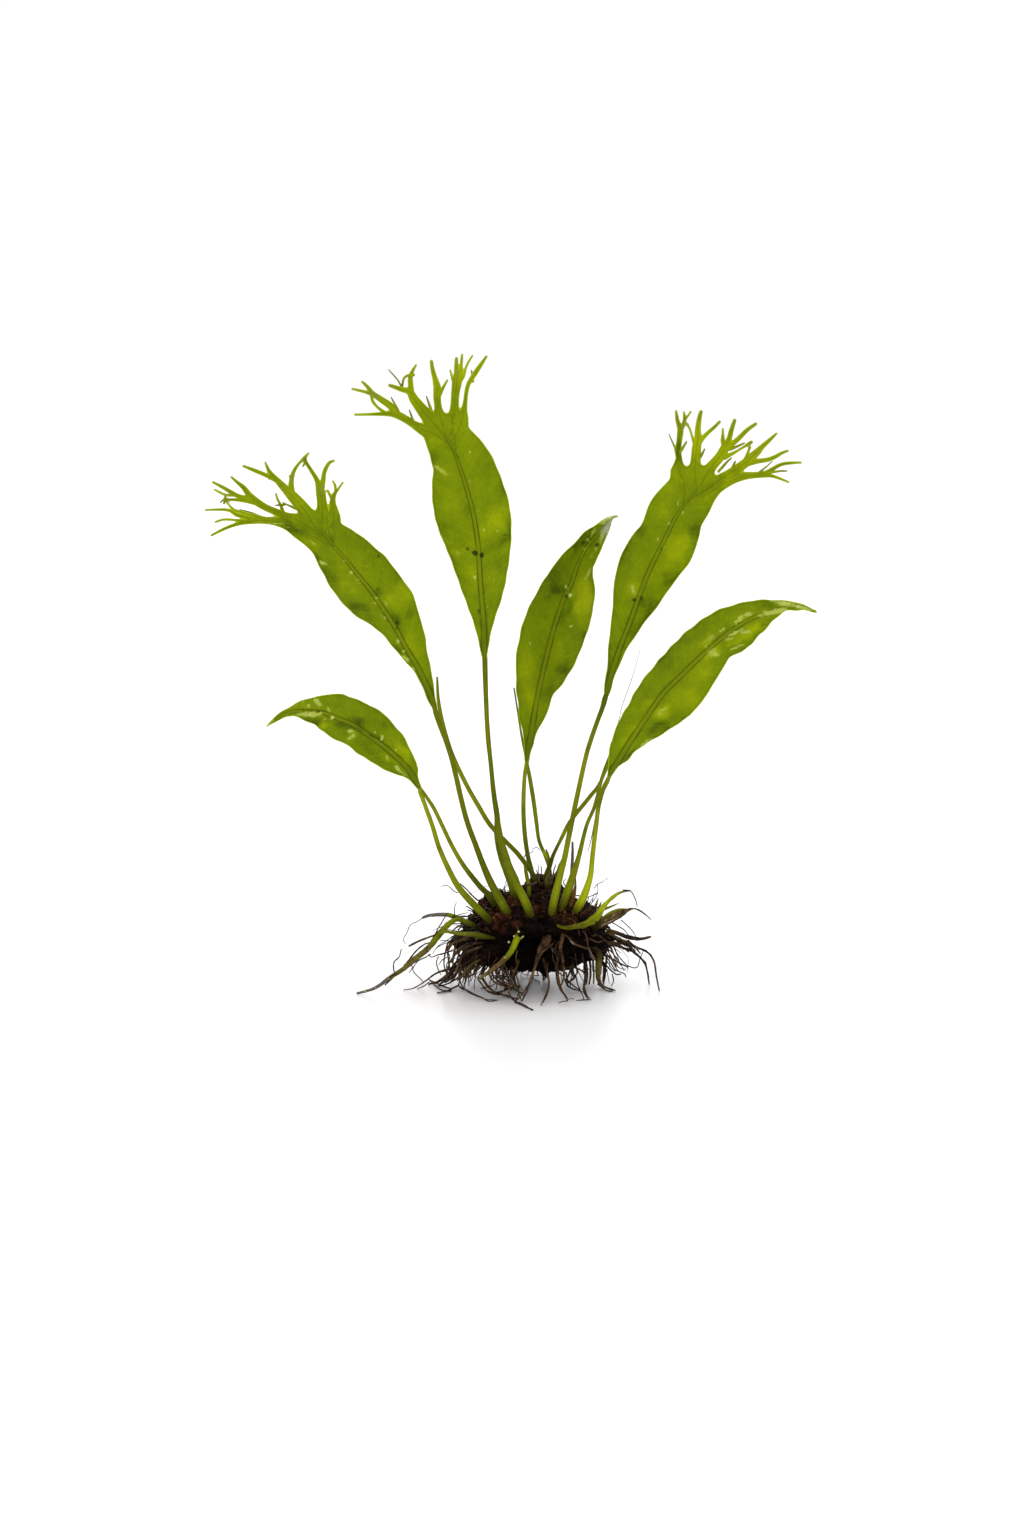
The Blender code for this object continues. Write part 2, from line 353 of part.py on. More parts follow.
# Main roots, laid out the same way
ROOTS = {
    "root_left_foot": [(-38.2, -1.4, -8.1, 0.22), (-35.4, -0.9, -9.6, 0.28),
                       (-32.4, 0.9, -13.8, 0.32), (-28.8, 3.4, -13.6, 0.36),
                       (-24.0, 5.0, -11.6, 0.4), (-16.0, 9.4, -6.4, 0.4)],
    "root_left_dark": [(-31.2, 0.2, -0.5, 0.25), (-28.0, 1.2, -2.8, 0.4),
                       (-24.4, 4.0, -7.4, 0.5), (-20.4, 6.2, -6.4, 0.5), (-15.0, 9.4, -3.0, 0.5)],
    "root_front_left": [(-6.2, -4.0, -20.6, 0.22), (-9.4, -3.0, -18.2, 0.26),
                        (-12.8, -1.9, -21.4, 0.3), (-15.2, 0.4, -18.4, 0.34),
                        (-16.2, 3.8, -15.6, 0.4), (-12.6, 10.6, -9.4, 0.4)],
    "root_far_left": [(-12.2, -4.2, -21.4, 0.2), (-16.0, -3.7, -19.6, 0.24),
                      (-20.6, -1.6, -20.4, 0.28), (-22.6, 1.8, -17.0, 0.32),
                      (-21.6, 5.2, -13.6, 0.36), (-15.0, 11.0, -8.4, 0.36)],
    "root_front_middle": [(-5.0, -4.4, -22.4, 0.22), (-3.8, -1.9, -22.2, 0.26),
                          (-2.8, 1.1, -26.8, 0.3), (-1.7, 4.2, -25.0, 0.34),
                          (-0.2, 7.8, -22.4, 0.38), (2.2, 12.6, -14.0, 0.4)],
    "root_front_long": [(-2.0, -7.0, -34.6, 0.2), (-6.4, -4.9, -25.6, 0.24),
                        (-8.6, -2.4, -28.0, 0.28), (-8.0, 1.6, -23.6, 0.3),
                        (-6.6, 5.0, -18.8, 0.34), (-4.8, 10.8, -11.6, 0.34)],
    "root_front_curl": [(0.8, -4.8, -24.3, 0.22), (2.0, -2.4, -23.6, 0.26),
                        (2.5, 0.4, -25.6, 0.3), (2.0, 3.6, -22.0, 0.34), (0.0, 10.0, -14.6, 0.34)],
    "root_front_right": [(7.6, -3.7, -19.1, 0.22), (6.0, -1.2, -19.0, 0.26),
                         (5.2, 2.0, -20.8, 0.3), (5.0, 5.4, -16.2, 0.34), (4.6, 9.8, -12.0, 0.34)],
    "root_right_foot": [(13.2, -3.2, -16.8, 0.22), (12.4, -0.6, -17.2, 0.26),
                        (12.6, 2.4, -18.0, 0.3), (12.6, 5.4, -14.2, 0.34), (10.8, 10.4, -10.0, 0.34)],
    "root_right_short": [(17.6, 1.0, 2.8, 0.3), (17.9, 3.6, 1.0, 0.4), (17.4, 6.6, -0.6, 0.45),
                         (12.4, 11.4, -2.0, 0.45)],
    "root_right_long": [(33.4, -1.6, -9.1, 0.22), (32.6, 2.4, -12.0, 0.26), (31.9, 6.6, -14.2, 0.28),
                        (30.2, 9.1, -13.4, 0.3), (27.6, 10.3, -12.2, 0.32), (24.0, 11.4, -10.4, 0.36),
                        (19.0, 12.0, -7.4, 0.4), (14.6, 12.2, -5.0, 0.4)],
    "root_right_inner": [(30.6, 0.2, -0.4, 0.22), (29.6, 5.4, -2.0, 0.26), (27.4, 8.4, -3.4, 0.3),
                         (24.4, 10.0, -3.8, 0.34), (19.6, 11.4, -3.2, 0.38), (15.4, 11.8, -2.2, 0.38)],
    "root_right_pointed": [(31.0, 13.5, -8.6, 0.3), (27.9, 12.9, -8.2, 0.5), (24.4, 13.5, -7.6, 0.6),
                           (19.6, 15.2, -6.0, 0.6), (15.6, 15.6, -4.0, 0.6)],
    "root_back_left": [(-24.0, 5.2, 24.8, 0.22), (-22.4, 6.2, 22.0, 0.28),
                       (-19.4, 8.6, 18.6, 0.34), (-14.6, 10.4, 13.6, 0.38), (-11.0, 10.8, 10.0, 0.38)],
    "root_back_middle": [(-1.0, 6.2, 29.8, 0.22), (-1.8, 7.4, 26.0, 0.28),
                         (-2.4, 9.8, 21.4, 0.34), (-2.6, 11.4, 16.8, 0.38), (-2.6, 13.4, 10.0, 0.38)],
    "root_back_right": [(24.6, 5.0, 23.6, 0.22), (21.4, 6.6, 20.8, 0.28),
                        (17.0, 9.2, 17.2, 0.34), (12.2, 11.4, 12.6, 0.38), (9.4, 11.8, 9.6, 0.38)],
}


def place(across, up, depth):
    """Point in metres for a place on the front view and its depth, all in mm."""
    right = across - SIGHT_ACROSS
    rise = up - SIGHT_UP
    sine = math.sin(SIGHT_DOWN)
    cosine = math.cos(SIGHT_DOWN)
    beyond = (depth - rise * sine) / (cosine + rise * sine / SIGHT_DISTANCE)
    spread = 1.0 + beyond / SIGHT_DISTANCE
    height = SIGHT_AIM_HEIGHT + rise * spread * cosine - beyond * sine
    return Vector((SIGHT_ACROSS + right * spread, depth - FOOT_DEPTH, height)) * MM


def smooth_line(points, step):
    """Smooth line through the points, with any number of values each, at about one step apart."""
    rows = [np.array(point, dtype=float) for point in points]
    rows = [2 * rows[0] - rows[1]] + rows + [2 * rows[-1] - rows[-2]]
    line = []
    for before, start, end, after in zip(rows, rows[1:], rows[2:], rows[3:]):
        count = max(1, round(float(np.linalg.norm((end - start)[:2])) / step))
        for index in range(count):
            t = index / count
            line.append(0.5 * (2 * start + (end - before) * t
                               + (2 * before - 5 * start + 4 * end - after) * t * t
                               + (3 * start - before - 3 * end + after) * t * t * t))
    line.append(rows[-2])
    return line


def nearest_on_strand(strand, x, y):
    """For each grid place: gap to the strand's edge, place along its line, offset to its side."""
    gap = np.full(x.shape, 1e9)
    along = np.zeros(x.shape)
    side = np.zeros(x.shape)
    for index, (start, end) in enumerate(zip(strand, strand[1:])):
        run_x = end[0] - start[0]
        run_y = end[1] - start[1]
        length = math.hypot(run_x, run_y)
        t = np.clip(((x - start[0]) * run_x + (y - start[1]) * run_y) / length ** 2, 0, 1)
        off_x = x - start[0] - t * run_x
        off_y = y - start[1] - t * run_y
        here = np.hypot(off_x, off_y) - (start[2] + (end[2] - start[2]) * t)
        closer = here < gap
        gap = np.where(closer, here, gap)
        along = np.where(closer, index + t, along)
        side = np.where(closer, (run_x * off_y - run_y * off_x) / length, side)
    return gap, along, side


def blade_strand(frond):
    """The blade as a row of discs: centre and half width, from its midrib stations."""
    stations = frond["blade"]
    strand = []
    for index, (across, up, left, right, depth) in enumerate(stations):
        before = stations[max(index - 1, 0)]
        after = stations[min(index + 1, len(stations) - 1)]
        run = Vector((after[0] - before[0], after[1] - before[1])).normalized()
        shift = (left - right) / 2
        strand.append((across - run.y * shift, up + run.x * shift, (left + right) / 2))
    return strand


def finger_gap(finger, x, y):
    """Gap to the edge of a finger and its side strands, below zero inside."""
    lines = [smooth_line(strand, OUTLINE_STEP) for strand in finger["strands"]]
    return np.min([nearest_on_strand(line, x, y)[0] for line in lines], axis=0)


def blade_field(frond, x, y):
    """Distance to the outline of blade and fingers, below zero inside, with rounded forks."""
    total = np.exp(-nearest_on_strand(smooth_line(blade_strand(frond), OUTLINE_STEP), x, y)[0] / FILLET)
    for finger in frond["fingers"]:
        total = total + np.exp(-finger_gap(finger, x, y) / FILLET)
    return -FILLET * np.log(np.maximum(total, 1e-30))


def blade_depth(frond, x, y):
    """Depth of the blade's middle surface at places on the front view."""
    midrib = [(row[0], row[1], 0.0, row[4]) for row in smooth_line(frond["blade"], OUTLINE_STEP)]
    _, along, side = nearest_on_strand(midrib, x, y)
    depths = np.interp(along, np.arange(len(midrib)), [row[3] for row in midrib])
    depths = depths + frond["tilt"] * side + frond["cup"] * side * side
    top = midrib[-1]
    body = smooth_line(blade_strand(frond), OUTLINE_STEP)
    weight = np.exp(-np.maximum(nearest_on_strand(body, x, y)[0], -BLEND_DEPTH) / BLEND_WIDTH)
    total = depths * weight
    from_top = np.hypot(x - top[0], y - top[1])
    for finger in frond["fingers"]:
        share = np.exp(-np.maximum(finger_gap(finger, x, y), -BLEND_DEPTH) / BLEND_WIDTH)
        total = total + share * (top[3] + finger["lean"] * (from_top / LEAN_REACH) ** 1.5)
        weight = weight + share
    return total / weight


def outline_of(frond):
    """Outer edge of the blade as a closed list of (across, up)."""
    points = [row[:2] for row in frond["blade"]]
    points += [row[:2] for finger in frond["fingers"] for strand in finger["strands"] for row in strand]
    low = np.min(points, axis=0) - OUTLINE_MARGIN
    high = np.max(points, axis=0) + OUTLINE_MARGIN
    xs = np.arange(low[0], high[0], FIELD_CELL)
    ys = np.arange(low[1], high[1], FIELD_CELL)
    x, y = np.meshgrid(xs, ys, indexing="ij")
    field = blade_field(frond, x, y)
    follows = {}
    for i, j in zip(*np.nonzero(edge_cells(field < 0))):
        for start, end in cell_edges(field, i, j):
            follows[start] = end
    loops = []
    while follows:
        start = next(iter(follows))
        loop = []
        while start in follows:
            loop.append(start)
            start = follows.pop(start)
        loops.append(loop)
    longest = max(loops, key=len)
    return thin_out([edge_point(field, xs, ys, key) for key in longest], OUTLINE_TOLERANCE)


def edge_cells(inside):
    """Cells of the grid that the outline passes through."""
    count = (inside[:-1, :-1].astype(int) + inside[1:, :-1] + inside[:-1, 1:] + inside[1:, 1:])
    return (count > 0) & (count < 4)


def cell_edges(field, i, j):
    """Pieces of the outline in one cell, each from grid edge to grid edge, inside on the left."""
    corners = [(i, j), (i + 1, j), (i + 1, j + 1), (i, j + 1)]
    inside = [field[corner] < 0 for corner in corners]
    leaving = []
    entering = []
    for k in range(4):
        a = corners[k]
        b = corners[(k + 1) % 4]
        if inside[k] and not inside[(k + 1) % 4]:
            leaving.append((min(a, b), max(a, b)))
        if inside[(k + 1) % 4] and not inside[k]:
            entering.append((min(a, b), max(a, b)))
    if len(leaving) == 2 and inside[0]:
        entering.reverse()
    return list(zip(leaving, entering))


def edge_point(field, xs, ys, key):
    """Where the outline crosses one grid edge."""
    a, b = key
    t = field[a] / (field[a] - field[b])
    t = min(max(t, 0.02), 0.98)
    return (xs[a[0]] + (xs[b[0]] - xs[a[0]]) * t, ys[a[1]] + (ys[b[1]] - ys[a[1]]) * t)


def thin_out(loop, tolerance):
    """The same closed outline with only the points that its shape needs."""
    half = len(loop) // 2
    return thin_run(loop[:half + 1], tolerance)[:-1] + thin_run(loop[half:] + loop[:1], tolerance)[:-1]


def thin_run(run, tolerance):
    """One stretch of outline, split at its furthest point until the rest lies within tolerance."""
    start = Vector(run[0])
    along = Vector(run[-1]) - start
    length = max(along.length, 1e-6)
    gaps = [abs(along.x * (p[1] - start.y) - along.y * (p[0] - start.x)) / length for p in run[1:-1]]
    if not gaps or max(gaps) < tolerance:
        return [run[0], run[-1]]
    split = gaps.index(max(gaps)) + 1
    return thin_run(run[:split + 1], tolerance)[:-1] + thin_run(run[split:], tolerance)


def blade_mesh(frond):
    """Closed sheet of even thickness with the blade's outline."""
    edge = outline_of(frond)
    lows = np.min(edge, axis=0)
    highs = np.max(edge, axis=0)
    x, y = np.meshgrid(np.arange(lows[0], highs[0], INNER_POINT_SPACING),
                       np.arange(lows[1], highs[1], INNER_POINT_SPACING), indexing="ij")
    x[:, ::2] += INNER_POINT_SPACING / 2
    deep = blade_field(frond, x, y) < -INNER_POINT_MARGIN
    inner = list(zip(x[deep], y[deep]))
    points = [Vector(point) for point in edge + inner]
    ring = [list(range(len(edge)))]
    verts, _, faces, _, _, _ = delaunay_2d_cdt(points, [], ring, 1, 1e-5)
    flat = np.array([(vert.x, vert.y) for vert in verts])
    depths = blade_depth(frond, flat[:, 0], flat[:, 1])
    mesh = bmesh.new()
    front = [mesh.verts.new(place(p[0], p[1], d - BLADE_THICKNESS / 2)) for p, d in zip(flat, depths)]
    back = [mesh.verts.new(place(p[0], p[1], d + BLADE_THICKNESS / 2)) for p, d in zip(flat, depths)]
    for face in faces:
        mesh.faces.new([front[index] for index in face])
        mesh.faces.new([back[index] for index in reversed(face)])
    rim = [link for link in mesh.edges if len(link.link_faces) == 1 and link.verts[0] in set(front)]
    partner = dict(zip(front, back))
    for link in rim:
        a, b = link.verts
        mesh.faces.new([a, b, partner[b], partner[a]])
    bmesh.ops.recalc_face_normals(mesh, faces=mesh.faces)
    return mesh


def tube_mesh(route, sides, step, grow=0.0, overrun=0.0):
    """Closed tapered tube along (across, up, depth, half thickness) points."""
    line = smooth_line(route, step)
    centres = [place(*row[:3]) for row in line]
    radii = [(row[3] + grow) * MM for row in line]
    if overrun:
        centres[-1] = centres[-1] + (centres[-1] - centres[-2]).normalized() * overrun * MM
    mesh = bmesh.new()
    rings = []
    side = None
    for index, centre in enumerate(centres):
        along = centres[min(index + 1, len(centres) - 1)] - centres[max(index - 1, 0)]
        along.normalize()
        if side is None:
            side = along.orthogonal().normalized()
        side = (side - along * side.dot(along)).normalized()
        other = along.cross(side)
        ring = []
        for corner in range(sides):
            turn = 2 * math.pi * corner / sides
            offset = side * math.cos(turn) + other * math.sin(turn)
            ring.append(mesh.verts.new(centre + offset * radii[index]))
        rings.append(ring)
    for ring, after in zip(rings, rings[1:]):
        for corner in range(sides):
            nearby = (corner + 1) % sides
            mesh.faces.new([ring[corner], ring[nearby], after[nearby], after[corner]])
    mesh.faces.new(list(reversed(rings[0])))
    mesh.faces.new(rings[-1])
    bmesh.ops.recalc_face_normals(mesh, faces=mesh.faces)
    return mesh


def material(name):
    """Plain finish in the piece's colour."""
    made = bpy.data.materials.new(name)
    made.use_nodes = True
    shader = made.node_tree.nodes["Principled BSDF"]
    shader.inputs["Base Color"].default_value = COLOURS[name]
    shader.inputs["Roughness"].default_value = 0.45 if name in ("blade", "crest", "stalk") else 0.8
    shader.inputs["Metallic"].default_value = 0.0
    return made


def add_piece(name, mesh, colour):
    """Object in the scene from a finished bmesh."""
    data = bpy.data.meshes.new(name)
    bmesh.ops.triangulate(mesh, faces=mesh.faces)
    mesh.to_mesh(data)
    mesh.free()
    data.materials.append(bpy.data.materials.get(colour) or material(colour))
    piece = bpy.data.objects.new(name, data)
    bpy.context.scene.collection.objects.link(piece)
    return piece


def add_helper(name, mesh):
    """Cutter or joining shape, left out of the plant itself."""
    helper = add_piece(name, mesh, "stalk")
    helper.hide_render = True
    helper.display_type = "WIRE"
    return helper


def combine(piece, helper, operation):
    """Boolean of the piece with a helper, kept as a live modifier."""
    step = piece.modifiers.new(helper.name, "BOOLEAN")
    step.operation = operation
    step.solver = "EXACT"
    step.object = helper


def make_frond(name, frond):
    """Stalk and blade grown as one piece."""
    blade = add_piece(name, blade_mesh(frond), "crest" if frond["fingers"] else "blade")
    stations = frond["blade"]
    midrib = [(row[0], row[1], row[4], MIDRIB_BASE - MIDRIB_TAPER * index / len(stations))
              for index, row in enumerate(stations[1:-1], 1)]
    route = midrib[::-1] + frond["stalk"][1:]
    combine(blade, add_helper("grown_on_" + name, tube_mesh(route, STALK_SIDES, STALK_STEP)), "UNION")
    return route


def make_clump(routes):
    """Rhizome clump: a knobbly mass with a flat foot and a socket for whatever grows out of it."""
    mesh = bmesh.new()
    bmesh.ops.create_icosphere(mesh, subdivisions=4, radius=1.0)
    for vert in mesh.verts:
        direction = vert.co.normalized()
        swell = sum(abs(part) ** CLUMP_SQUARENESS for part in direction) ** (-1 / CLUMP_SQUARENESS)
        for aim, spread, height in CLUMP_KNOBS:
            near = (direction - Vector(aim).normalized()).length
            swell += height * math.exp(-(near / spread) ** 2)
        swell += CLUMP_LUMPS * noise.noise(direction * 2.6 + Vector((4.1, 2.3, 7.7)))
        swell += CLUMP_GRAIN * noise.noise(direction * 6.5 + Vector((1.7, 9.2, 3.4)))
        vert.co = Vector([CLUMP_CENTRE[k] + direction[k] * swell * CLUMP_HALF[k] for k in range(3)]) * MM
    clump = add_piece("rhizome_clump", mesh, "clump")
    for name, route, sides, step in routes:
        cutter = add_helper("socket_for_" + name, tube_mesh(route, sides, step, SOCKET_GAP, SOCKET_GAP))
        combine(clump, cutter, "DIFFERENCE")
    floor_cut = bmesh.new()
    bmesh.ops.create_cube(floor_cut, size=1.0)
    size = Vector((FLOOR_CUT_WIDTH, FLOOR_CUT_WIDTH, FLOOR_CUT_DEPTH)) * MM
    bmesh.ops.scale(floor_cut, vec=size, verts=floor_cut.verts)
    bmesh.ops.translate(floor_cut, vec=(0, 0, -FLOOR_CUT_DEPTH / 2 * MM), verts=floor_cut.verts)
    combine(clump, add_helper("flat_foot_cut", floor_cut), "DIFFERENCE")
    return clump


def main():
    for old in list(bpy.data.objects):
        bpy.data.objects.remove(old, do_unlink=True)
    sockets = []
    for name, frond in FRONDS.items():
        route = make_frond(name, frond)
        sockets.append((name, route, STALK_SIDES, STALK_STEP))
    for name, stem in STEMS.items():
        add_piece(name, tube_mesh(stem["route"], STALK_SIDES, STALK_STEP), stem["colour"])
        sockets.append((name, stem["route"], STALK_SIDES, STALK_STEP))
    for name, route in ROOTS.items():
        add_piece(name, tube_mesh(route, ROOT_SIDES, ROOT_STEP), "root")
        sockets.append((name, route, ROOT_SIDES, ROOT_STEP))
    make_clump(sockets)


main()
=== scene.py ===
# Java fern with crested and plain fronds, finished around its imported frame.
import math
import bmesh
import bpy
import numpy as np
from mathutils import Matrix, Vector, noise


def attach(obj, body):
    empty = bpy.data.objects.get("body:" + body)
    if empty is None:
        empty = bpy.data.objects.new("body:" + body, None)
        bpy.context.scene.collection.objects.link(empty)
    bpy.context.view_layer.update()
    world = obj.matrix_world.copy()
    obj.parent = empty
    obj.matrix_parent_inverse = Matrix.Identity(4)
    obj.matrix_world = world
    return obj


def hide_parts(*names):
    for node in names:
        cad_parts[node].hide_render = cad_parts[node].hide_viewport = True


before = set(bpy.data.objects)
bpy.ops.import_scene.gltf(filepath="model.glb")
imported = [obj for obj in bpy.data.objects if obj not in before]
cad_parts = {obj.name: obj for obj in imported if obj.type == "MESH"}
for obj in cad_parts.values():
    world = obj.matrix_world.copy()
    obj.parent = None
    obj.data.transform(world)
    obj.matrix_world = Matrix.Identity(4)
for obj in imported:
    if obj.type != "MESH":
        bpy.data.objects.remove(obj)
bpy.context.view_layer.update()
print("frame loaded:", len(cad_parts), "nodes")

mm = 0.001

# The plant is laid out as it is seen from the front, a little from above. A place is
# (across, up, depth) in mm: across and up on a sheet square to the line of sight,
# depth back from the middle of the clump.
sight = {
    "down": math.radians(9),
    "distance": 1200.0,
    "across": -7.84,
    "up": 60.76,
    "aimHeight": 62.0,
    "footDepth": 9.0,
    "frameHeight": 430.08,
}
sine, cosine = math.sin(sight["down"]), math.cos(sight["down"])

# The tables of places hold tenths of a mm, and hundredths for half thicknesses. These say
# how many of its parts make a mm, column by column.
placeUnits = (10, 10)
strandUnits = (10, 10, 100)
stemUnits = (10, 10, 10, 100)


def inMm(values, units):
    # rows in mm from a table, which may be one long row
    return (np.reshape(values, (-1, len(units))) / units).tolist()


def place(rows):
    # (across, up, depth) rows in mm to points in mm round the plant's origin
    across, up, depth = np.asarray(rows, float)[..., :3].T
    rise = up - sight["up"]
    beyond = (depth - rise * sine) / (cosine + rise * sine / sight["distance"])
    spread = 1 + beyond / sight["distance"]
    height = sight["aimHeight"] + rise * spread * cosine - beyond * sine
    x = sight["across"] + (across - sight["across"]) * spread
    return np.stack((x, depth - sight["footDepth"], height), axis=-1)


def floorDepth(up, lift):
    # depth at which a place seen at this height is lift mm above the floor
    rise = up - sight["up"]
    beyond = (lift - sight["aimHeight"] - rise * cosine) / (rise * cosine / sight["distance"] - sine)
    return beyond * (cosine + rise * sine / sight["distance"]) + rise * sine


def smoothLine(points, step):
    # smooth curve through rows of any number of values, about one step apart
    rows = [np.array(row, float) for row in points]
    rows = [2 * rows[0] - rows[1], *rows, 2 * rows[-1] - rows[-2]]
    line = []
    for before, start, end, after in zip(rows, rows[1:], rows[2:], rows[3:]):
        count = max(1, round(float(np.linalg.norm((end - start)[:2])) / step))
        for t in np.arange(count) / count:
            line.append(0.5 * (2 * start + (end - before) * t
                               + (2 * before - 5 * start + 4 * end - after) * t ** 2
                               + (3 * start - before - 3 * end + after) * t ** 3))
    return np.array(line + [rows[-2]])


def ripple(x, y, seed, size):
    # gentle unevenness between -1 and 1, features about size across
    drift = np.random.default_rng(seed)
    total = 0
    for turn in drift.uniform(0, 2 * math.pi, 5):
        pitch = 2 * math.pi / (size * drift.uniform(0.8, 1.9))
        total = total + np.sin(pitch * (x * math.cos(turn) + y * math.sin(turn)) + drift.uniform(0, 6.3))
    return total / 3


# Meshes are put together from parts: points in mm, faces, a material number and
# named values for the shaders.


def tubePart(points, radii, sides, finish=0, lumps=0.0, seed=0, flat=1.0):
    # closed tube through points in mm, rounded at both ends
    points = np.asarray(points, float)
    ahead = np.gradient(points, axis=0)
    ahead /= np.linalg.norm(ahead, axis=1)[:, None] + 1e-12
    side = np.cross(ahead[0], (0.3, 0.9, 0.2))
    sideways = []
    for direction in ahead:
        side = side - direction * side.dot(direction)
        side = side / np.linalg.norm(side)
        sideways.append(side)
    sideways = np.array(sideways)
    upward = np.cross(ahead, sideways)
    angles = 2 * math.pi * np.arange(sides) / sides
    swell = np.ones((len(points), sides))
    if lumps:
        swell += lumps * np.random.default_rng(seed).normal(size=swell.shape)
    ring = (np.cos(angles)[None, :, None] * sideways[:, None, :]
            + flat * np.sin(angles)[None, :, None] * upward[:, None, :])
    verts = points[:, None, :] + ring * (radii[:, None] * swell)[:, :, None]
    ends = np.array([points[0] - ahead[0] * radii[0] * 0.7, points[-1] + ahead[-1] * radii[-1] * 0.7])
    verts = np.vstack((verts.reshape(-1, 3), ends))
    faces = []
    for i in range(len(points) - 1):
        for k in range(sides):
            n = (k + 1) % sides
            faces.append((i * sides + k, i * sides + n, (i + 1) * sides + n, (i + 1) * sides + k))
    last = (len(points) - 1) * sides
    for k in range(sides):
        n = (k + 1) % sides
        faces.append((n, k, len(verts) - 2))
        faces.append((last + k, last + n, len(verts) - 1))
    turn = np.tile(np.abs(np.arange(sides) / sides - 0.5) * 2, len(points))
    return {"verts": verts, "faces": faces, "finish": finish, "turn": np.append(turn, (0, 0))}


def ballPart(subdivisions, radius, moved):
    # ball whose points are moved one by one
    ball = bmesh.new()
    bmesh.ops.create_icosphere(ball, subdivisions=subdivisions, radius=radius)
    verts = np.array([list(moved(vert.co)) for vert in ball.verts])
    faces = [[vert.index for vert in face.verts] for face in ball.faces]
    ball.free()
    return {"verts": verts, "faces": faces}


def shaded(part, shade):
    # the part in one brown of its own, from dark at 0 to pale at 1
    part["shade"] = np.full(len(part["verts"]), shade)
    return part


def makePiece(name, parts, finishes, nodes=()):
    # one object from its parts, riding on the plant's body
    offset, verts, faces, numbers = 0, [], [], []
    for part in parts:
        verts.append(part["verts"])
        faces += [tuple(offset + corner for corner in face) for face in part["faces"]]
        numbers += [part.get("finish", 0)] * len(part["faces"])
        offset += len(part["verts"])
    mesh = bpy.data.meshes.new(name)
    mesh.from_pydata((np.vstack(verts) * mm).tolist(), [], faces)
    mesh.polygons.foreach_set("material_index", numbers)
    for key in sorted({key for part in parts for key in part} - {"verts", "faces", "finish"}):
        values = [np.asarray(part.get(key, np.zeros(len(part["verts"]))), float) for part in parts]
        mesh.attributes.new(key, "FLOAT", "POINT").data.foreach_set("value", np.concatenate(values))
    for finish in finishes:
        mesh.materials.append(finish)
    mesh.shade_smooth()
    piece = bpy.data.objects.new(name, mesh)
    bpy.context.scene.collection.objects.link(piece)
    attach(piece, "root")
    if nodes:
        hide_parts(*nodes)
    return piece


def pieceName(node):
    first, *rest = node.split("_")
    return first + "".join(word.capitalize() for word in rest)


leafShape = {
    "cell": 0.3,
    "margin": 12,
    "ribReach": 40,
    "edgeReach": 14,
    "fillet": 0.4,
    "scallopLength": 5.0,
    "scallopDepth": 1.5,
    "edgeHalf": 0.05,
    "sheetHalf": 0.19,
    "edgeRound": 0.5,
    "ribHalf": (0.88, 0.66, 0.62, 0.52, 0.28),
    "veinReach": 4,
    "veinRise": 0.05,
    "veinHalf": 0.3,
    "blend": 1.1,
    "blendDepth": 4.0,
    "leanReach": 24.0,
    "leanPower": 1.5,
    "waveHeight": 0.75,
    "waveLength": 11.0,
    "wavePower": 1.6,
    "waveStart": 12,
    "rippleHeight": 0.12,
    "rippleLength": 5.0,
    "crestStart": 6,
    "crestFade": 3.0,
    "crestLight": 0.75,
    "tipSpread": 3.5,
    # the stalk runs on into the blade and fades out along its midrib
    "stalk": {"sides": 14, "step": 1.2, "lumps": 0.012, "fadeHalves": (0.12, 0.5)},
    "spur": {"sides": 8, "step": 0.6, "lumps": 0.05, "fresh": (0.85, 0.55), "root": 1.2},
    # firmness, waver and seed of the patches of painted light and shade, the marks and the faded tip
    "spots": {"patches": (1.2, 0.9, 3), "marks": (1.6, 0.2, 5), "faded": (2.5, 0.3, 7)},
    "values": ("rib", "along", "vein", "light", "tone", "tip", "faded", "ribHalf"),
    # a midrib row is (across, up, left, right, depth), a spot (across, up, half sizes, lean
    # in degrees, strength)
    "bladeUnits": (10, 10, 10, 10, 10),
    "spotUnits": (10, 10, 10, 10, 1, 10),
}


def planInMm(plan):
    # a frond's tables in mm; a plain frond has no fingers, forks or spurs
    return plan | {
        "stalk": inMm(plan["stalk"], stemUnits),
        "blade": inMm(plan["blade"], leafShape["bladeUnits"]),
        "fingers": [(lean, [inMm(strand, strandUnits) for strand in strands])
                    for lean, strands in plan.get("fingers", [])],
        "forks": [inMm(fork, placeUnits) for fork in plan.get("forks", [])],
        "spurs": [(lift, inMm(route, strandUnits)) for lift, route in plan.get("spurs", [])],
        **{kind: inMm(plan.get(kind, []), leafShape["spotUnits"]) for kind in leafShape["spots"]},
    }


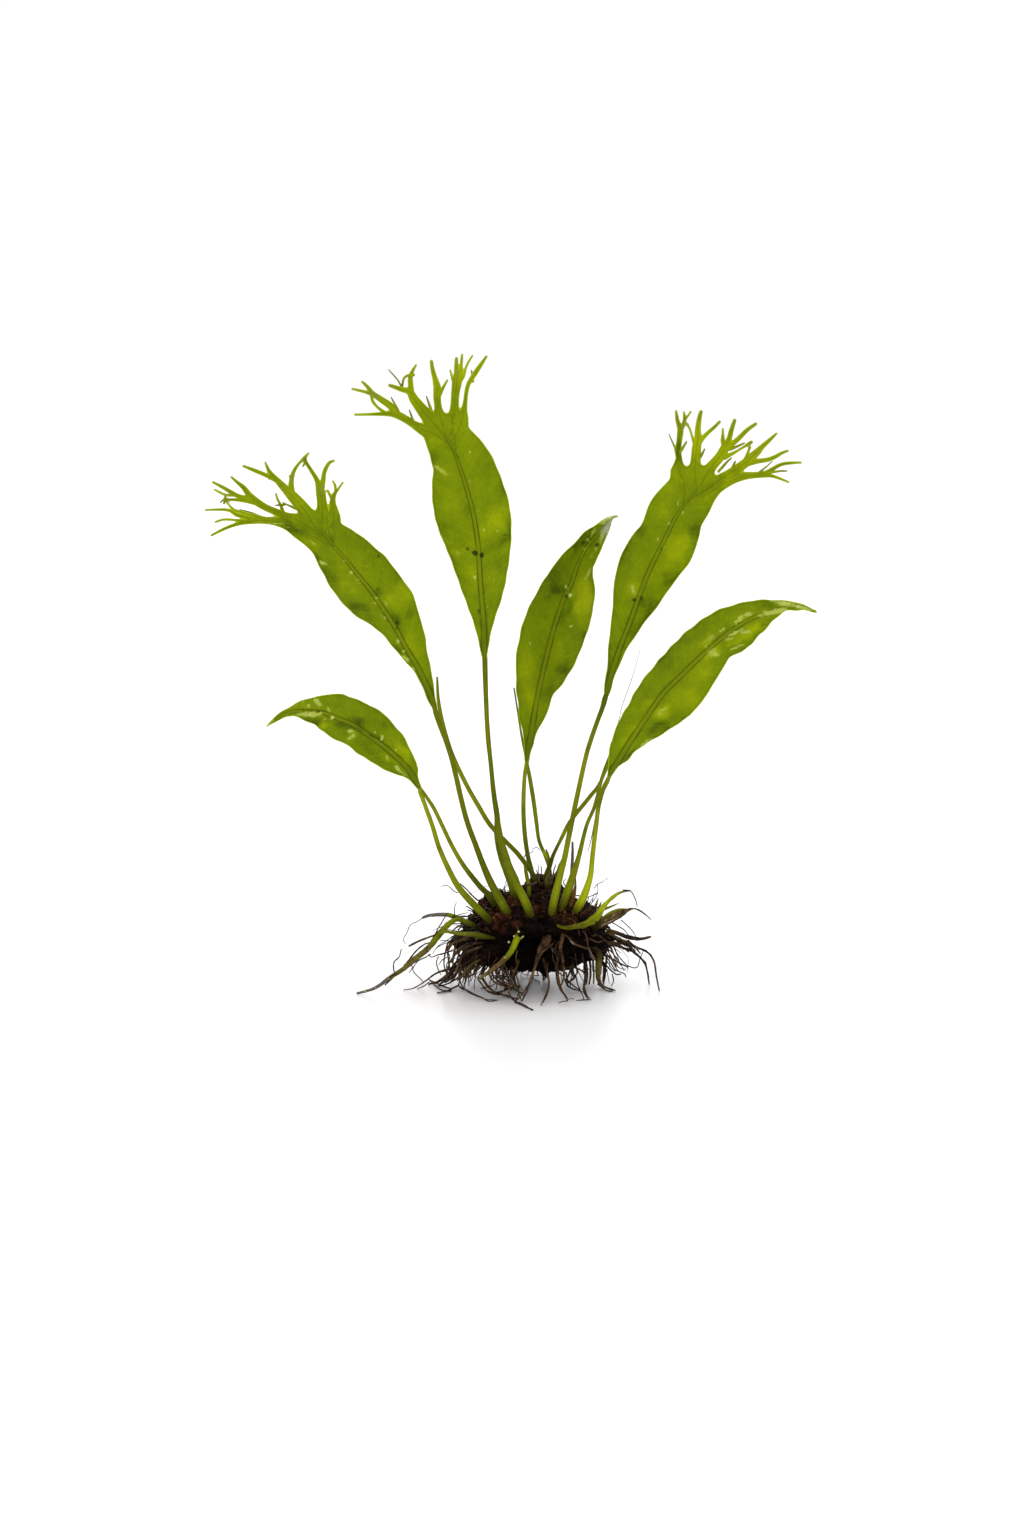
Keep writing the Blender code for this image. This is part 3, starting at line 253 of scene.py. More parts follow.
def nearLine(xs, ys, line, reach):
    # over a grid: gap to the strand's edge, run along its line, offset to its side
    far = np.full((len(xs), len(ys)), 99.0)
    along, side = np.zeros_like(far), np.zeros_like(far)
    i0, i1 = np.searchsorted(xs, (line[:, 0].min() - reach, line[:, 0].max() + reach))
    j0, j1 = np.searchsorted(ys, (line[:, 1].min() - reach, line[:, 1].max() + reach))
    x, y = np.meshgrid(xs[i0:i1], ys[j0:j1], indexing="ij")
    gap, run = far[i0:i1, j0:j1], 0.0
    for start, end in zip(line, line[1:]):
        dx, dy = end[:2] - start[:2]
        length = math.hypot(dx, dy)
        t = np.clip(((x - start[0]) * dx + (y - start[1]) * dy) / length ** 2, 0, 1)
        offX, offY = x - start[0] - t * dx, y - start[1] - t * dy
        here = np.hypot(offX, offY) - (start[2] + (end[2] - start[2]) * t)
        closer = here < gap
        gap[closer] = here[closer]
        along[i0:i1, j0:j1][closer] = (run + t * length)[closer]
        side[i0:i1, j0:j1][closer] = ((dx * offY - dy * offX) / length)[closer]
        run += length
    return far, along, side


def bladeDiscs(stations):
    # the blade as a row of discs, from its midrib stations
    discs = []
    for index, (across, up, left, right, depth) in enumerate(stations):
        before, after = stations[max(index - 1, 0)], stations[min(index + 1, len(stations) - 1)]
        run = Vector((after[0] - before[0], after[1] - before[1])).normalized()
        shift = (left - right) / 2
        discs.append((across - run.y * shift, up + run.x * shift, (left + right) / 2))
    return discs


def softSpots(x, y, side, spots, firm, waver, seed):
    # sum of soft uneven ovals; an oval beside the midrib stops there
    x = x + waver * ripple(x, y, seed, 5 * waver)
    y = y + waver * ripple(x, y, seed + 1, 5 * waver)
    total = np.zeros(x.shape)
    for across, up, wide, tall, lean, shade in spots:
        turn = math.radians(lean)
        u = (x - across) * math.cos(turn) + (y - up) * math.sin(turn)
        v = (y - up) * math.cos(turn) - (x - across) * math.sin(turn)
        away = (u / wide) ** 2 + (v / tall) ** 2
        middle = side.flat[away.argmin()]
        halved = 1 / (1 + np.exp(-4 * side * np.sign(middle))) if abs(middle) > 1 else 1
        total += shade * np.exp(-away ** firm) * halved
    return total


def leafGrid(plan, seed):
    # everything about a leaf over a fine grid: outline, veins, depth and tone
    points = [row[:2] for row in plan["blade"]]
    points += [row[:2] for _, strands in plan["fingers"] for strand in strands for row in strand]
    low, high = np.min(points, axis=0) - leafShape["margin"], np.max(points, axis=0) + leafShape["margin"]
    xs = np.arange(low[0], high[0], leafShape["cell"])
    ys = np.arange(low[1], high[1], leafShape["cell"])
    x, y = np.meshgrid(xs, ys, indexing="ij")
    fillet, blend, reach = leafShape["fillet"], leafShape["blend"], leafShape["edgeReach"]

    midrib = smoothLine([(a, u, 0.0, d) for a, u, _, _, d in plan["blade"]], 1.0)
    _, along, side = nearLine(xs, ys, midrib, leafShape["ribReach"])
    runs = np.concatenate(([0], np.cumsum(np.hypot(*np.diff(midrib[:, :2], axis=0).T))))
    length, top = runs[-1], midrib[-1]

    discs = smoothLine(bladeDiscs(plan["blade"]), 1.0)
    body = nearLine(xs, ys, discs, reach)[0]
    halves = np.interp(np.linspace(0, 1, len(runs)), np.linspace(0, 1, len(discs)), discs[:, 2])
    width = np.interp(along, runs, halves)
    fingers = [np.min([nearLine(xs, ys, smoothLine(strand, 1.0), reach)[0] for strand in strands], axis=0)
               for _, strands in plan["fingers"]]
    total = np.exp(-body / fillet) + sum(np.exp(-gap / fillet) for gap in fingers)
    outline = -fillet * np.log(np.maximum(total, 1e-30))
    scallop = plan["scallop"] * ripple(along + 40 * (side > 0), 0 * side, seed, leafShape["scallopLength"])
    outline += scallop * np.exp(-(body / leafShape["scallopDepth"]) ** 2) * (body < 99)

    # veins: the forks off the midrib and the middle of each finger
    vein = np.full(x.shape, 9.0)
    for route in [strands[0][:-1] for _, strands in plan["fingers"]] + plan["forks"]:
        line = smoothLine([(row[0], row[1], 0.0) for row in route], 1.0)
        vein = np.minimum(vein, nearLine(xs, ys, line, leafShape["veinReach"])[0])

    # depth of the leaf's middle surface, with the fingers bent back or forwards
    depth = np.interp(along, runs, midrib[:, 3]) + plan["tilt"] * side + plan["cup"] * side ** 2
    weight = np.exp(-np.maximum(body, -leafShape["blendDepth"]) / blend)
    total = depth * weight
    fromTop = np.hypot(x - top[0], y - top[1])
    for (lean, _), gap in zip(plan["fingers"], fingers):
        share = np.exp(-np.maximum(gap, -leafShape["blendDepth"]) / blend)
        total += share * (top[3] + lean * (fromTop / leafShape["leanReach"]) ** leafShape["leanPower"])
        weight += share
    depth = total / np.maximum(weight, 1e-12)
    outer = np.clip(np.abs(side) / np.maximum(width, 1.0), 0, 1.3)
    wave = ripple(along + 30 * (side > 0), side * 0.3, seed + 1, leafShape["waveLength"])
    started = np.clip(along / leafShape["waveStart"], 0, 1)
    depth += leafShape["waveHeight"] * plan["wavy"] * outer ** leafShape["wavePower"] * wave * started
    depth += leafShape["rippleHeight"] * ripple(x, y, seed + 2, leafShape["rippleLength"])

    light, tone, faded = [softSpots(x, y, side, plan[kind], firm, waver, seed + further)
                          for kind, (firm, waver, further) in leafShape["spots"].items()]
    if plan["fingers"]:
        crest = 1 / (1 + np.exp(-(fromTop - leafShape["crestStart"]) / leafShape["crestFade"]))
        light += leafShape["crestLight"] * (crest * (along > length - 1.5))
    tip = np.zeros(x.shape)
    for endX, endY, _ in [strand[-1] for _, strands in plan["fingers"] for strand in strands]:
        tip = np.maximum(tip, np.exp(-((x - endX) ** 2 + (y - endY) ** 2) / leafShape["tipSpread"]))
    ribHalf = np.minimum(np.interp(along / length, np.linspace(0, 1, 5), leafShape["ribHalf"]), 0.8 * width)
    ribHalf = ribHalf * (along < length - 0.01) + 1e-3
    return {"xs": xs, "ys": ys, "outline": outline, "x": x, "y": y, "depth": depth, "rib": side,
            "along": along, "vein": vein, "light": light, "tone": tone, "tip": tip,
            "faded": np.clip(faded, 0, 1), "ribHalf": ribHalf}


def leafSheet(grid):
    # the sheet cut out of the grid along the leaf's outline: values, faces, rim
    outline = grid["outline"]
    inside = outline < 0
    keys = ("x", "y", "depth", *leafShape["values"])
    stack = np.stack([grid[key] for key in keys] + [-outline], axis=-1)
    count = int(inside.sum())
    number = np.full(inside.shape, -1)
    number[inside] = np.arange(count)
    rows, crossings = [stack[inside]], {}
    for axis in (0, 1):
        first = inside[:-1, :] if axis == 0 else inside[:, :-1]
        second = inside[1:, :] if axis == 0 else inside[:, 1:]
        i, j = np.nonzero(first != second)
        a = stack[i, j]
        b = stack[i + (axis == 0), j + (axis == 1)]
        t = np.clip(a[:, -1] / (a[:, -1] - b[:, -1]), 0.05, 0.95)[:, None]
        rows.append(a + (b - a) * t)
        for order, key in enumerate(zip(i.tolist(), j.tolist())):
            crossings[axis, *key] = count + order
        count += len(i)
    values = np.vstack(rows)
    quarters = np.stack((inside[:-1, :-1], inside[1:, :-1], inside[1:, 1:], inside[:-1, 1:]))
    full, some = quarters.all(axis=0), quarters.any(axis=0)
    i, j = np.nonzero(full)
    faces = np.column_stack((number[i, j], number[i + 1, j], number[i + 1, j + 1], number[i, j + 1])).tolist()
    rim = []
    for i, j in zip(*(part.tolist() for part in np.nonzero(some & ~full))):
        corners = ((i, j), (i + 1, j), (i + 1, j + 1), (i, j + 1))
        links = ((0, i, j), (1, i + 1, j), (0, i, j + 1), (1, i, j))
        shape, marks = [], []
        for k in range(4):
            now, after = inside[corners[k]], inside[corners[(k + 1) % 4]]
            if now:
                shape.append(int(number[corners[k]]))
            if now != after:
                marks.append(len(shape))
                shape.append(crossings[links[k]])
        faces.append(shape)
        for here in marks:
            following = (here + 1) % len(shape)
            if following in marks:
                rim.append((shape[here], shape[following]))
    return {key: values[:, n] for n, key in enumerate(keys)} | {"edge": values[:, -1]}, faces, rim


def spurPart(grid, lift, route, seed):
    # thin spur that stands off a finger, rooted a little way inside the leaf
    shape = leafShape["spur"]
    back = route[0, :2] - route[1, :2]
    root = route[0, :2] + back * (shape["root"] / np.hypot(*back))
    route = np.vstack(([*root, route[0, 2]], route))
    here = np.abs(grid["xs"] - route[0, 0]).argmin(), np.abs(grid["ys"] - route[0, 1]).argmin()
    rows = [(across, up, grid["depth"][here] + lift * t ** 2, 1.15 * half + 0.03)
            for (across, up, half), t in zip(route.tolist(), np.linspace(0, 1, len(route)))]
    return stemPart(rows, shape["sides"], shape["step"], shape, finish=1, lumps=shape["lumps"], seed=seed)


def frondPiece(node, plan, finishes, seed):
    # leaf and stalk as one piece
    plan = planInMm(plan)
    grid = leafGrid(plan, seed)
    values, faces, rim = leafSheet(grid)
    edge = np.maximum(values["edge"], 0)
    half = leafShape["edgeHalf"] + leafShape["sheetHalf"] * (1 - np.exp(-edge / leafShape["edgeRound"]))
    ribbed = 0.95 * np.sqrt(np.maximum(values["ribHalf"] ** 2 - values["rib"] ** 2, 0))
    half = (half ** 4 + ribbed ** 4) ** 0.25
    half += leafShape["veinRise"] * np.exp(-(values["vein"] / leafShape["veinHalf"]) ** 2)
    places = [np.column_stack((values["x"], values["y"], values["depth"] + way * half)) for way in (-1, 1)]
    count = len(half)
    faces = (faces + [[count + corner for corner in reversed(face)] for face in faces]
             + [(b, a, a + count, b + count) for a, b in rim])
    leaf = {key: np.tile(values[key], 2) for key in (*leafShape["values"], "edge")}
    leaf |= {"verts": np.vstack([place(rows) for rows in places]), "faces": faces}
    shape = leafShape["stalk"]
    ahead = [(*row[:2], row[4], thin) for row, thin in zip(plan["blade"][2:0:-1], shape["fadeHalves"])]
    stalk = stemPart(ahead + plan["stalk"], shape["sides"], shape["step"], plan, finish=1,
                     lumps=shape["lumps"], seed=seed)
    spurs = [spurPart(grid, lift, np.array(route), seed + order)
             for order, (lift, route) in enumerate(plan["spurs"])]
    return makePiece(pieceName(node) + "Leaf", [leaf, stalk, *spurs], finishes, [node])


# Finishes. Each shader takes its pattern from values stored on the mesh, in mm, and from
# noise in the plant's own space.


class Shading:
    # the few node steps that the finishes are made of
    def __init__(self, name):
        self.finish = bpy.data.materials.new(name)
        self.finish.use_nodes = True
        self.tree = self.finish.node_tree
        self.shader = self.tree.nodes["Principled BSDF"]
        self.room = self.tree.nodes.new("ShaderNodeTexCoord").outputs["Object"]

    def feed(self, node, inputs):
        for key, source in inputs.items():
            if isinstance(source, bpy.types.NodeSocket):
                self.tree.links.new(source, node.inputs[key])
            else:
                node.inputs[key].default_value = source
        return node

    def step(self, kind, inputs, **settings):
        node = self.tree.nodes.new("ShaderNode" + kind)
        for key, setting in settings.items():
            setattr(node, key, setting)
        return self.feed(node, inputs)

    def value(self, key):
        return self.step("Attribute", {}, attribute_name=key).outputs["Fac"]

    def math(self, operation, *inputs):
        return self.step("Math", dict(enumerate(inputs)), operation=operation).outputs[0]

    def plus(self, first, second):
        return self.math("ADD", first, second)

    def minus(self, first, second):
        return self.math("SUBTRACT", first, second)

    def times(self, first, second):
        return self.math("MULTIPLY", first, second)

    def noise(self, scale, detail=3.0, roughness=0.55, stretch=(1, 1, 1)):
        spot = self.step("Mapping", {"Vector": self.room, "Scale": stretch}).outputs[0]
        inputs = {"Vector": spot, "Scale": scale, "Detail": detail, "Roughness": roughness}
        return self.step("TexNoise", inputs).outputs["Fac"]

    def uneven(self, source, scale, detail, size=1.0):
        # source with noise of this size added round 0
        return self.plus(source, self.times(self.minus(self.noise(scale, detail), 0.5), size))

    def cells(self, scale):
        return self.step("TexVoronoi", {"Vector": self.room, "Scale": scale}).outputs["Distance"]

    def span(self, source, low, high, to=(0.0, 1.0)):
        inputs = {"Value": source, "From Min": low, "From Max": high, "To Min": to[0], "To Max": to[1]}
        return self.step("MapRange", inputs, interpolation_type="SMOOTHSTEP").outputs["Result"]

    def line(self, source, middle, half):
        # 1 where source is at middle, falling to 0 at half to either side
        return self.span(self.math("ABSOLUTE", self.minus(source, middle)), half, 0.0)

    def blend(self, factor, first, second):
        return self.step("Mix", {0: factor, 6: first, 7: second}, data_type="RGBA").outputs[2]

    def cover(self, under, colour, where, most):
        # colour laid over another where it belongs, at most that strong
        return self.blend(self.times(where, most), under, colour)

    def finished(self, colour, grain, roughness, height, relief, strength, gloss):
        bump = self.step("Bump", {"Height": height, "Distance": relief, "Strength": strength})
        rough = self.span(grain, 0.3, 0.7, roughness)
        self.feed(self.shader, {"Base Color": colour, "Roughness": rough, "Normal": bump.outputs[0],
                                "Specular IOR Level": gloss})
        return self.finish


def rgb(red, green, blue):
    return (red, green, blue, 1.0)


leafLook = {
    # painted light and shade: broad patches run from shade through green to sunny
    "shade": rgb(0.052, 0.085, 0.001),
    "green": rgb(0.158, 0.222, 0.001),
    "sunny": rgb(0.330, 0.385, 0.001),
    "veinLight": rgb(0.30, 0.36, 0.006),
    "veinPitch": 3.4,
    "veinSlant": 0.85,
    "ribDark": rgb(0.040, 0.060, 0.001),
    "ribMiddle": rgb(0.160, 0.195, 0.002),
    "ribFoot": rgb(0.105, 0.125, 0.002),
    # rim, pale and glint are painted highlights: the lit edge, wet marks and specks, and white glints
    "rim": rgb(0.420, 0.520, 0.004),
    "tip": rgb(0.20, 0.19, 0.045),
    "faded": rgb(0.43, 0.45, 0.31),
    "pale": rgb(0.41, 0.48, 0.08),
    "glint": rgb(0.80, 0.82, 0.62),
    "dark": rgb(0.016, 0.028, 0.003),
}


def leafFinish(name, crestedness):
    # thin green leaf in broad patches of painted light and shade, with side veins, a double-edged
    # midrib, pale painted highlights of wet gloss and dark spots
    look, tint = Shading(name), leafLook
    along, edge, tone = look.value("along"), look.value("edge"), look.value("tone")
    sideways = look.math("ABSOLUTE", look.value("rib"))
    light = look.uneven(look.uneven(look.value("light"), 75, 3.0, 1.3), 330, 4.0, 0.9)
    light = look.minus(light, look.times(look.span(edge, 1.1, 0.1), 0.45))
    green = look.blend(look.span(light, -1.25, 0.15), tint["shade"], tint["green"])
    green = look.blend(look.span(light, -0.15, 1.6), green, tint["sunny"])
    # side veins slant up from the midrib, with finer cells between them
    slant = look.minus(along, look.times(sideways, tint["veinSlant"]))
    slant = look.plus(slant, look.times(look.noise(60), 5.0))
    strand = look.math("COSINE", look.times(slant, 2 * math.pi / tint["veinPitch"]))
    strand = look.span(strand, 0.92, 1.0)
    green = look.cover(green, tint["veinLight"], strand, 0.20)
    grain = look.cells(900)
    green = look.cover(green, tint["shade"], look.span(grain, 0.35, 0.65), 0.10)
    # midrib with dark edges, and the finer veins of the crest
    across = look.math("DIVIDE", sideways, look.value("ribHalf"))
    band = look.blend(look.span(along, 18.0, 3.0), tint["ribMiddle"], tint["ribFoot"])
    green = look.cover(green, band, look.span(across, 1.1, 0.6), 0.7)
    patchy = look.span(look.noise(210), 0.25, 0.65, (0.45, 0.9))
    green = look.cover(green, tint["ribDark"], look.line(across, 1.0, 0.5), patchy)
    fork = look.span(look.value("vein"), 0.36, 0.08)
    green = look.cover(green, tint["ribDark"], fork, 0.28 * crestedness)
    # finger ends and a worn tip
    green = look.cover(green, tint["tip"], look.value("tip"), 0.6)
    worn = look.span(look.noise(520, 4.0), 0.25, 0.6, (0.6, 1.0))
    green = look.cover(green, tint["faded"], look.value("faded"), worn)
    # painted highlights above 0, pale wet marks with white glints, and dark spots below, both with ragged
    # edges
    ragged = look.uneven(tone, 700, 4.0, 1.4)
    pale = look.times(look.span(ragged, 0.05, 0.75), look.span(tone, 0.05, 0.3))
    green = look.cover(green, tint["pale"], pale, 0.85)
    green = look.blend(look.span(ragged, 0.9, 1.5), green, tint["glint"])
    dark = look.times(look.span(ragged, -0.05, -0.8), look.span(tone, -0.05, -0.3))
    green = look.cover(green, tint["dark"], dark, 0.92)
    # painted highlights: pale wet specks, and a pale rim along the edge
    speck = look.times(look.span(look.cells(640), 0.16, 0.08), look.span(look.noise(85), 0.56, 0.64))
    green = look.cover(green, tint["pale"], speck, 0.35)
    green = look.cover(green, tint["rim"], look.span(edge, 0.34, 0.1), 0.7)
    swell = look.plus(look.plus(look.times(strand, 0.5), look.noise(380)), grain)
    return look.finished(green, look.noise(240), (0.30, 0.50), swell, 0.00012, 0.5, 0.03)


stalkLook = {
    "dark": rgb(0.085, 0.100, 0.0015),
    "bright": rgb(0.350, 0.400, 0.006),
    "shade": rgb(0.045, 0.055, 0.002),
    "brown": rgb(0.150, 0.098, 0.034),
    "umber": rgb(0.040, 0.022, 0.008),
    "grey": rgb(0.130, 0.115, 0.105),
    "foot": rgb(0.034, 0.026, 0.003),
    "glint": rgb(0.55, 0.60, 0.30),
}


def stalkFinish(name, glintStrength):
    # fleshy stalk or runner: green from dark to bright as its tones give, withered to brown and grey in
    # places
    look, tint = Shading(name), stalkLook
    green = look.blend(look.value("fresh"), tint["dark"], tint["bright"])
    green = look.cover(green, tint["shade"], look.span(look.noise(150, 4.0), 0.46, 0.70), 0.45)
    groove = look.math("COSINE", look.times(look.value("turn"), 5 * math.pi))
    groove = look.plus(groove, look.noise(300, 2.0))
    green = look.cover(green, tint["shade"], look.span(groove, 0.9, 1.7), 0.35)
    streaks = look.span(look.noise(420, 4.0, 0.6, (1, 1, 0.5)), 0.36, 0.64)
    brown = look.blend(streaks, tint["umber"], tint["brown"])
    withered = look.uneven(look.value("withered"), 260, 4.0)
    green = look.blend(look.span(withered, 0.25, 0.75), green, brown)
    greyed = look.uneven(look.value("greyed"), 380, 3.0)
    green = look.cover(green, tint["grey"], look.span(greyed, 0.25, 0.75), 0.85)
    # painted glints: pale flecks of highlight along the stalk
    green = look.cover(green, tint["glint"], look.span(look.noise(1100, 2.0), 0.66, 0.74), glintStrength)
    # painted shade, with some browning: the stalk's foot is darkened where it meets the clump
    foot = look.times(look.value("foot"), look.span(look.noise(330), 0.2, 0.6, (0.7, 1.0)))
    green = look.cover(green, tint["foot"], foot, 0.94)
    swell = look.plus(groove, look.times(look.noise(900, 4.0), 2.0))
    return look.finished(green, look.noise(400), (0.28, 0.48), swell, 0.00008, 0.6, 0.02)


rootLook = {
    "dark": rgb(0.011, 0.005, 0.003),
    "brown": rgb(0.082, 0.042, 0.016),
    # worn: pale streaks, partly real wear and partly painted highlights
    "worn": rgb(0.300, 0.215, 0.150),
    "red": rgb(0.042, 0.010, 0.003),
    "black": rgb(0.0022, 0.0010, 0.0008),
    "tan": rgb(0.100, 0.052, 0.014),
    "moss": rgb(0.100, 0.092, 0.012),
    # in metres: heights at which the skin turns red and catches light, and the hollow across
    # the front of the clump, where shade is painted near black
    "crownHeight": (0.0170, 0.0215),
    "litHeight": (0.0145, 0.0215),
    "hollowMiddle": 0.0005,
    "hollowHalf": 0.0125,
    "hollowTop": (0.0245, 0.0212),
    "hollowFront": (-0.012, -0.020),
}


def rootFinish(name, worn, moss):
    # wiry brown root, paler in streaks that are partly real wear and partly painted highlights, some of it
    # mossy
    look, tint = Shading(name), rootLook
    shade = look.value("shade")
    skin = look.blend(look.span(look.noise(180, 4.0), 0.38, 0.62), tint["dark"], tint["brown"])
    skin = look.cover(skin, tint["dark"], look.span(shade, 0.45, 0.0), 0.75)
    skin = look.cover(skin, tint["moss"], look.span(shade, 0.8, 1.0), moss)
    streak = look.span(look.noise(520, 3.0, 0.6, (1, 1, 0.4)), 0.55, 0.70)
    wearAndHighlight = look.times(look.span(shade, 0.1, 0.9, (0.35, 1.0)), worn)
    skin = look.cover(skin, tint["worn"], streak, wearAndHighlight)
    return look.finished(skin, look.noise(600), (0.30, 0.6), look.noise(1400, 4.0), 0.0001, 0.8, 0.08)


def crownSkin(look):
    # black-brown below, with shade painted near black in the hollow, redder and crumbly on the
    # crown; also the height and where the hollow is
    tint = rootLook
    x, y, z = look.step("SeparateXYZ", {"Vector": look.room}).outputs[:3]
    height = look.span(z, *tint["crownHeight"])
    hollow = look.line(x, tint["hollowMiddle"], tint["hollowHalf"])
    hollow = look.times(hollow, look.span(z, *tint["hollowTop"]))
    skin = look.blend(look.span(look.noise(210, 5.0, 0.65), 0.46, 0.68), tint["black"], tint["dark"])
    top = look.times(height, look.span(look.noise(300, 4.0, 0.65), 0.44, 0.62))
    skin = look.blend(top, skin, tint["red"])
    tan = look.times(height, look.span(look.noise(520), 0.60, 0.72))
    skin = look.cover(skin, tint["tan"], tan, 0.5)
    # painted shade: the hollow across the front is painted near black
    front = look.times(hollow, look.span(y, *tint["hollowFront"]))
    return look.cover(skin, tint["black"], front, 0.96), z, hollow


def clumpFinish(name):
    # matted rhizome under its roots and scales
    look = Shading(name)
    crumbs = look.plus(look.cells(620), look.noise(900, 4.0))
    return look.finished(crownSkin(look)[0], look.noise(700), (0.45, 0.8), crumbs, 0.0005, 0.9, 0.03)


def scaleFinish(name, brightness):
    # dry scales and matted roots: each in its own brown where painted light falls, higher up and outside the
    # hollow, over the clump's own darker colours
    look = Shading(name)
    skin, z, hollow = crownSkin(look)
    shade = look.value("shade")
    own = look.blend(look.span(shade, 0.55, 0.95), rootLook["red"], rootLook["tan"])
    lit = look.times(look.span(z, *rootLook["litHeight"], (0.05, 1.0)), look.minus(1.0, hollow))
    bright = look.times(look.span(shade, 0.30, 1.0), look.times(lit, brightness))
    skin = look.blend(bright, skin, own)
    return look.finished(skin, look.noise(700), (0.30, 0.65), look.noise(1500), 0.0001, 0.7, 0.03)


def plainFinish(name, first, second, roughness):
    # one small thing in two mottled tones
    look = Shading(name)
    skin = look.blend(look.span(look.noise(650, 4.0), 0.38, 0.62), first, second)
    return look.finished(skin, look.noise(900, 2.0), roughness, look.noise(1300), 0.0001, 0.6, 0.08)


finishes = {
    "plainLeaf": leafFinish("plain leaf", 0.0),
    "crestedLeaf": leafFinish("crested leaf", 1.0),
    "stalk": stalkFinish("stalk", 0.15),
    "runner": stalkFinish("runner", 0.6),
    "root": rootFinish("root", 0.55, 0.6),
    "rootlet": rootFinish("fine root", 0.45, 0.5),
    "clump": clumpFinish("rhizome"),
    "scale": scaleFinish("dry scale", 0.9),
    "matted": scaleFinish("matted root", 0.45),
    "rust": plainFinish("rusty fibre", rgb(0.088, 0.042, 0.018), rgb(0.016, 0.007, 0.003), (0.3, 0.6)),
    "sheath": plainFinish("papery sheath", rgb(0.230, 0.120, 0.022), rgb(0.100, 0.045, 0.010), (0.35, 0.6)),
    "nodule": plainFinish("pale nodule", rgb(0.60, 0.62, 0.30), rgb(0.36, 0.40, 0.10), (0.12, 0.25)),
    "ivory": plainFinish("pale root", rgb(0.40, 0.33, 0.27), rgb(0.16, 0.11, 0.08), (0.2, 0.45)),
}
print("finishes ready:", len(finishes))


clump = {
    "centre": (-2.0, -9.0, 15.6),
    "half": (20.5, 18.0, 9.6),
    "squareness": 2.5,
    "lumps": 0.10,
    "grain": 0.08,
    # direction from the middle, spread, height; the last one is the foot
    "knobs": [((-0.36, 0.20, 0.90), 0.24, 0.16), ((0.10, 0.38, 0.90), 0.24, 0.52),
              ((0.72, 0.06, 0.66), 0.30, -0.20), ((-0.97, 0.00, -0.34), 0.28, 0.12),
              ((-0.90, -0.10, 0.38), 0.46, -0.46), ((0.92, -0.15, -0.32), 0.36, 0.14),
              ((0.10, -0.98, 0.15), 0.45, 0.06), ((-0.05, -0.45, -0.90), 0.36, 0.12),
              ((-0.30, 0.95, 0.20), 0.40, 0.06), ((0.12, 0.20, -0.97), 0.07, 0.56)],
    # dark hollow across the front: middle and half size over (sideways, upwards)
    "hollow": {"middle": (0.02, 0.02), "half": (0.40, 0.17), "depth": 0.20},
    # roughness of its skin: height in mm, and how fine it is
    "rolling": (0.9, 0.32),
    "gritty": (0.35, 1.6),
    "pitted": (0.8, 0.7),
    "cuts": 7,
    # how far the dark foot of a stem, partly its own browning and partly painted shade, reaches above the
    # clump
    "footReach": 0.30,
    # depths in mm at which a line of sight is tried, and the depth of one that misses
    "tried": (-30.0, 14.0, 1.0),
    "missed": 99.0,
}


def clumpSwell(direction):
    # how far the clump reaches in a direction, in its own half sizes
    power = clump["squareness"]
    swell = sum(abs(part) ** power for part in direction) ** (-1 / power)
    for aim, spread, height in clump["knobs"]:
        near = (direction - Vector(aim).normalized()).length
        swell += height * math.exp(-(near / spread) ** 2)
    hollow = clump["hollow"]
    off = [(direction[k] - hollow["middle"][k // 2]) / hollow["half"][k // 2] for k in (0, 2)]
    swell -= hollow["depth"] * (direction.y < 0) * math.exp(-off[0] ** 2 - off[1] ** 2)
    swell += clump["lumps"] * noise.noise(direction * 2.6 + Vector((4.1, 2.3, 7.7)))
    return swell + clump["grain"] * noise.noise(direction * 6.5 + Vector((1.7, 9.2, 3.4)))


def clumpPoint(direction, lift=0.0):
    # place in mm on the clump's surface in a direction, lift mm outside it
    swell = clumpSwell(direction)
    half, middle = clump["half"], clump["centre"]
    return Vector([middle[k] + direction[k] * (swell * half[k] + lift) for k in range(3)])


def clumpRay(point):
    # from the clump's middle to a place in mm, in the clump's half sizes
    return Vector([(point[k] - clump["centre"][k]) / clump["half"][k] for k in range(3)])


def insideClump(point):
    ray = clumpRay(point)
    reach = ray.length
    return reach < clumpSwell(ray / reach)


def clumpDepth(across, up, missed=clump["missed"]):
    # depth at which the line of sight through a seen place meets the clump
    start, end, step = clump["tried"]
    depths = np.arange(start, end, step)
    for depth, point in zip(depths, place([(across, up, depth) for depth in depths])):
        if insideClump(point):
            near, far = depth - step, depth
            for _ in range(4):
                middle = (near + far) / 2
                hit = insideClump(place([(across, up, middle)])[0])
                near, far = (near, middle) if hit else (middle, far)
            return far
    return missed


def stemPart(route, sides, step, tones, **shape):
    # tube whose colours change from its tip to its buried end, darker where it meets the clump: partly its
    # own browning, partly painted shade
    line = smoothLine(route, step)
    points = place(line)
    part = tubePart(points, line[:, 3], sides, **shape)
    run = np.append(0, np.cumsum(np.linalg.norm(np.diff(points, axis=0), axis=1)))
    rays = [clumpRay(point) for point in points]
    gaps = np.array([ray.length / clumpSwell(ray.normalized()) - 1 for ray in rays])
    rows = {"foot": np.clip(1.1 - gaps / clump["footReach"], 0, 1)}
    for key in ("fresh", "withered", "greyed"):
        values = tones.get(key, (0.0,))
        rows[key] = np.interp(run / run[-1], np.linspace(0, 1, len(values)), values)
    for key, row in rows.items():
        part[key] = np.append(np.repeat(row, sides), row[[0, -1]])
    return part


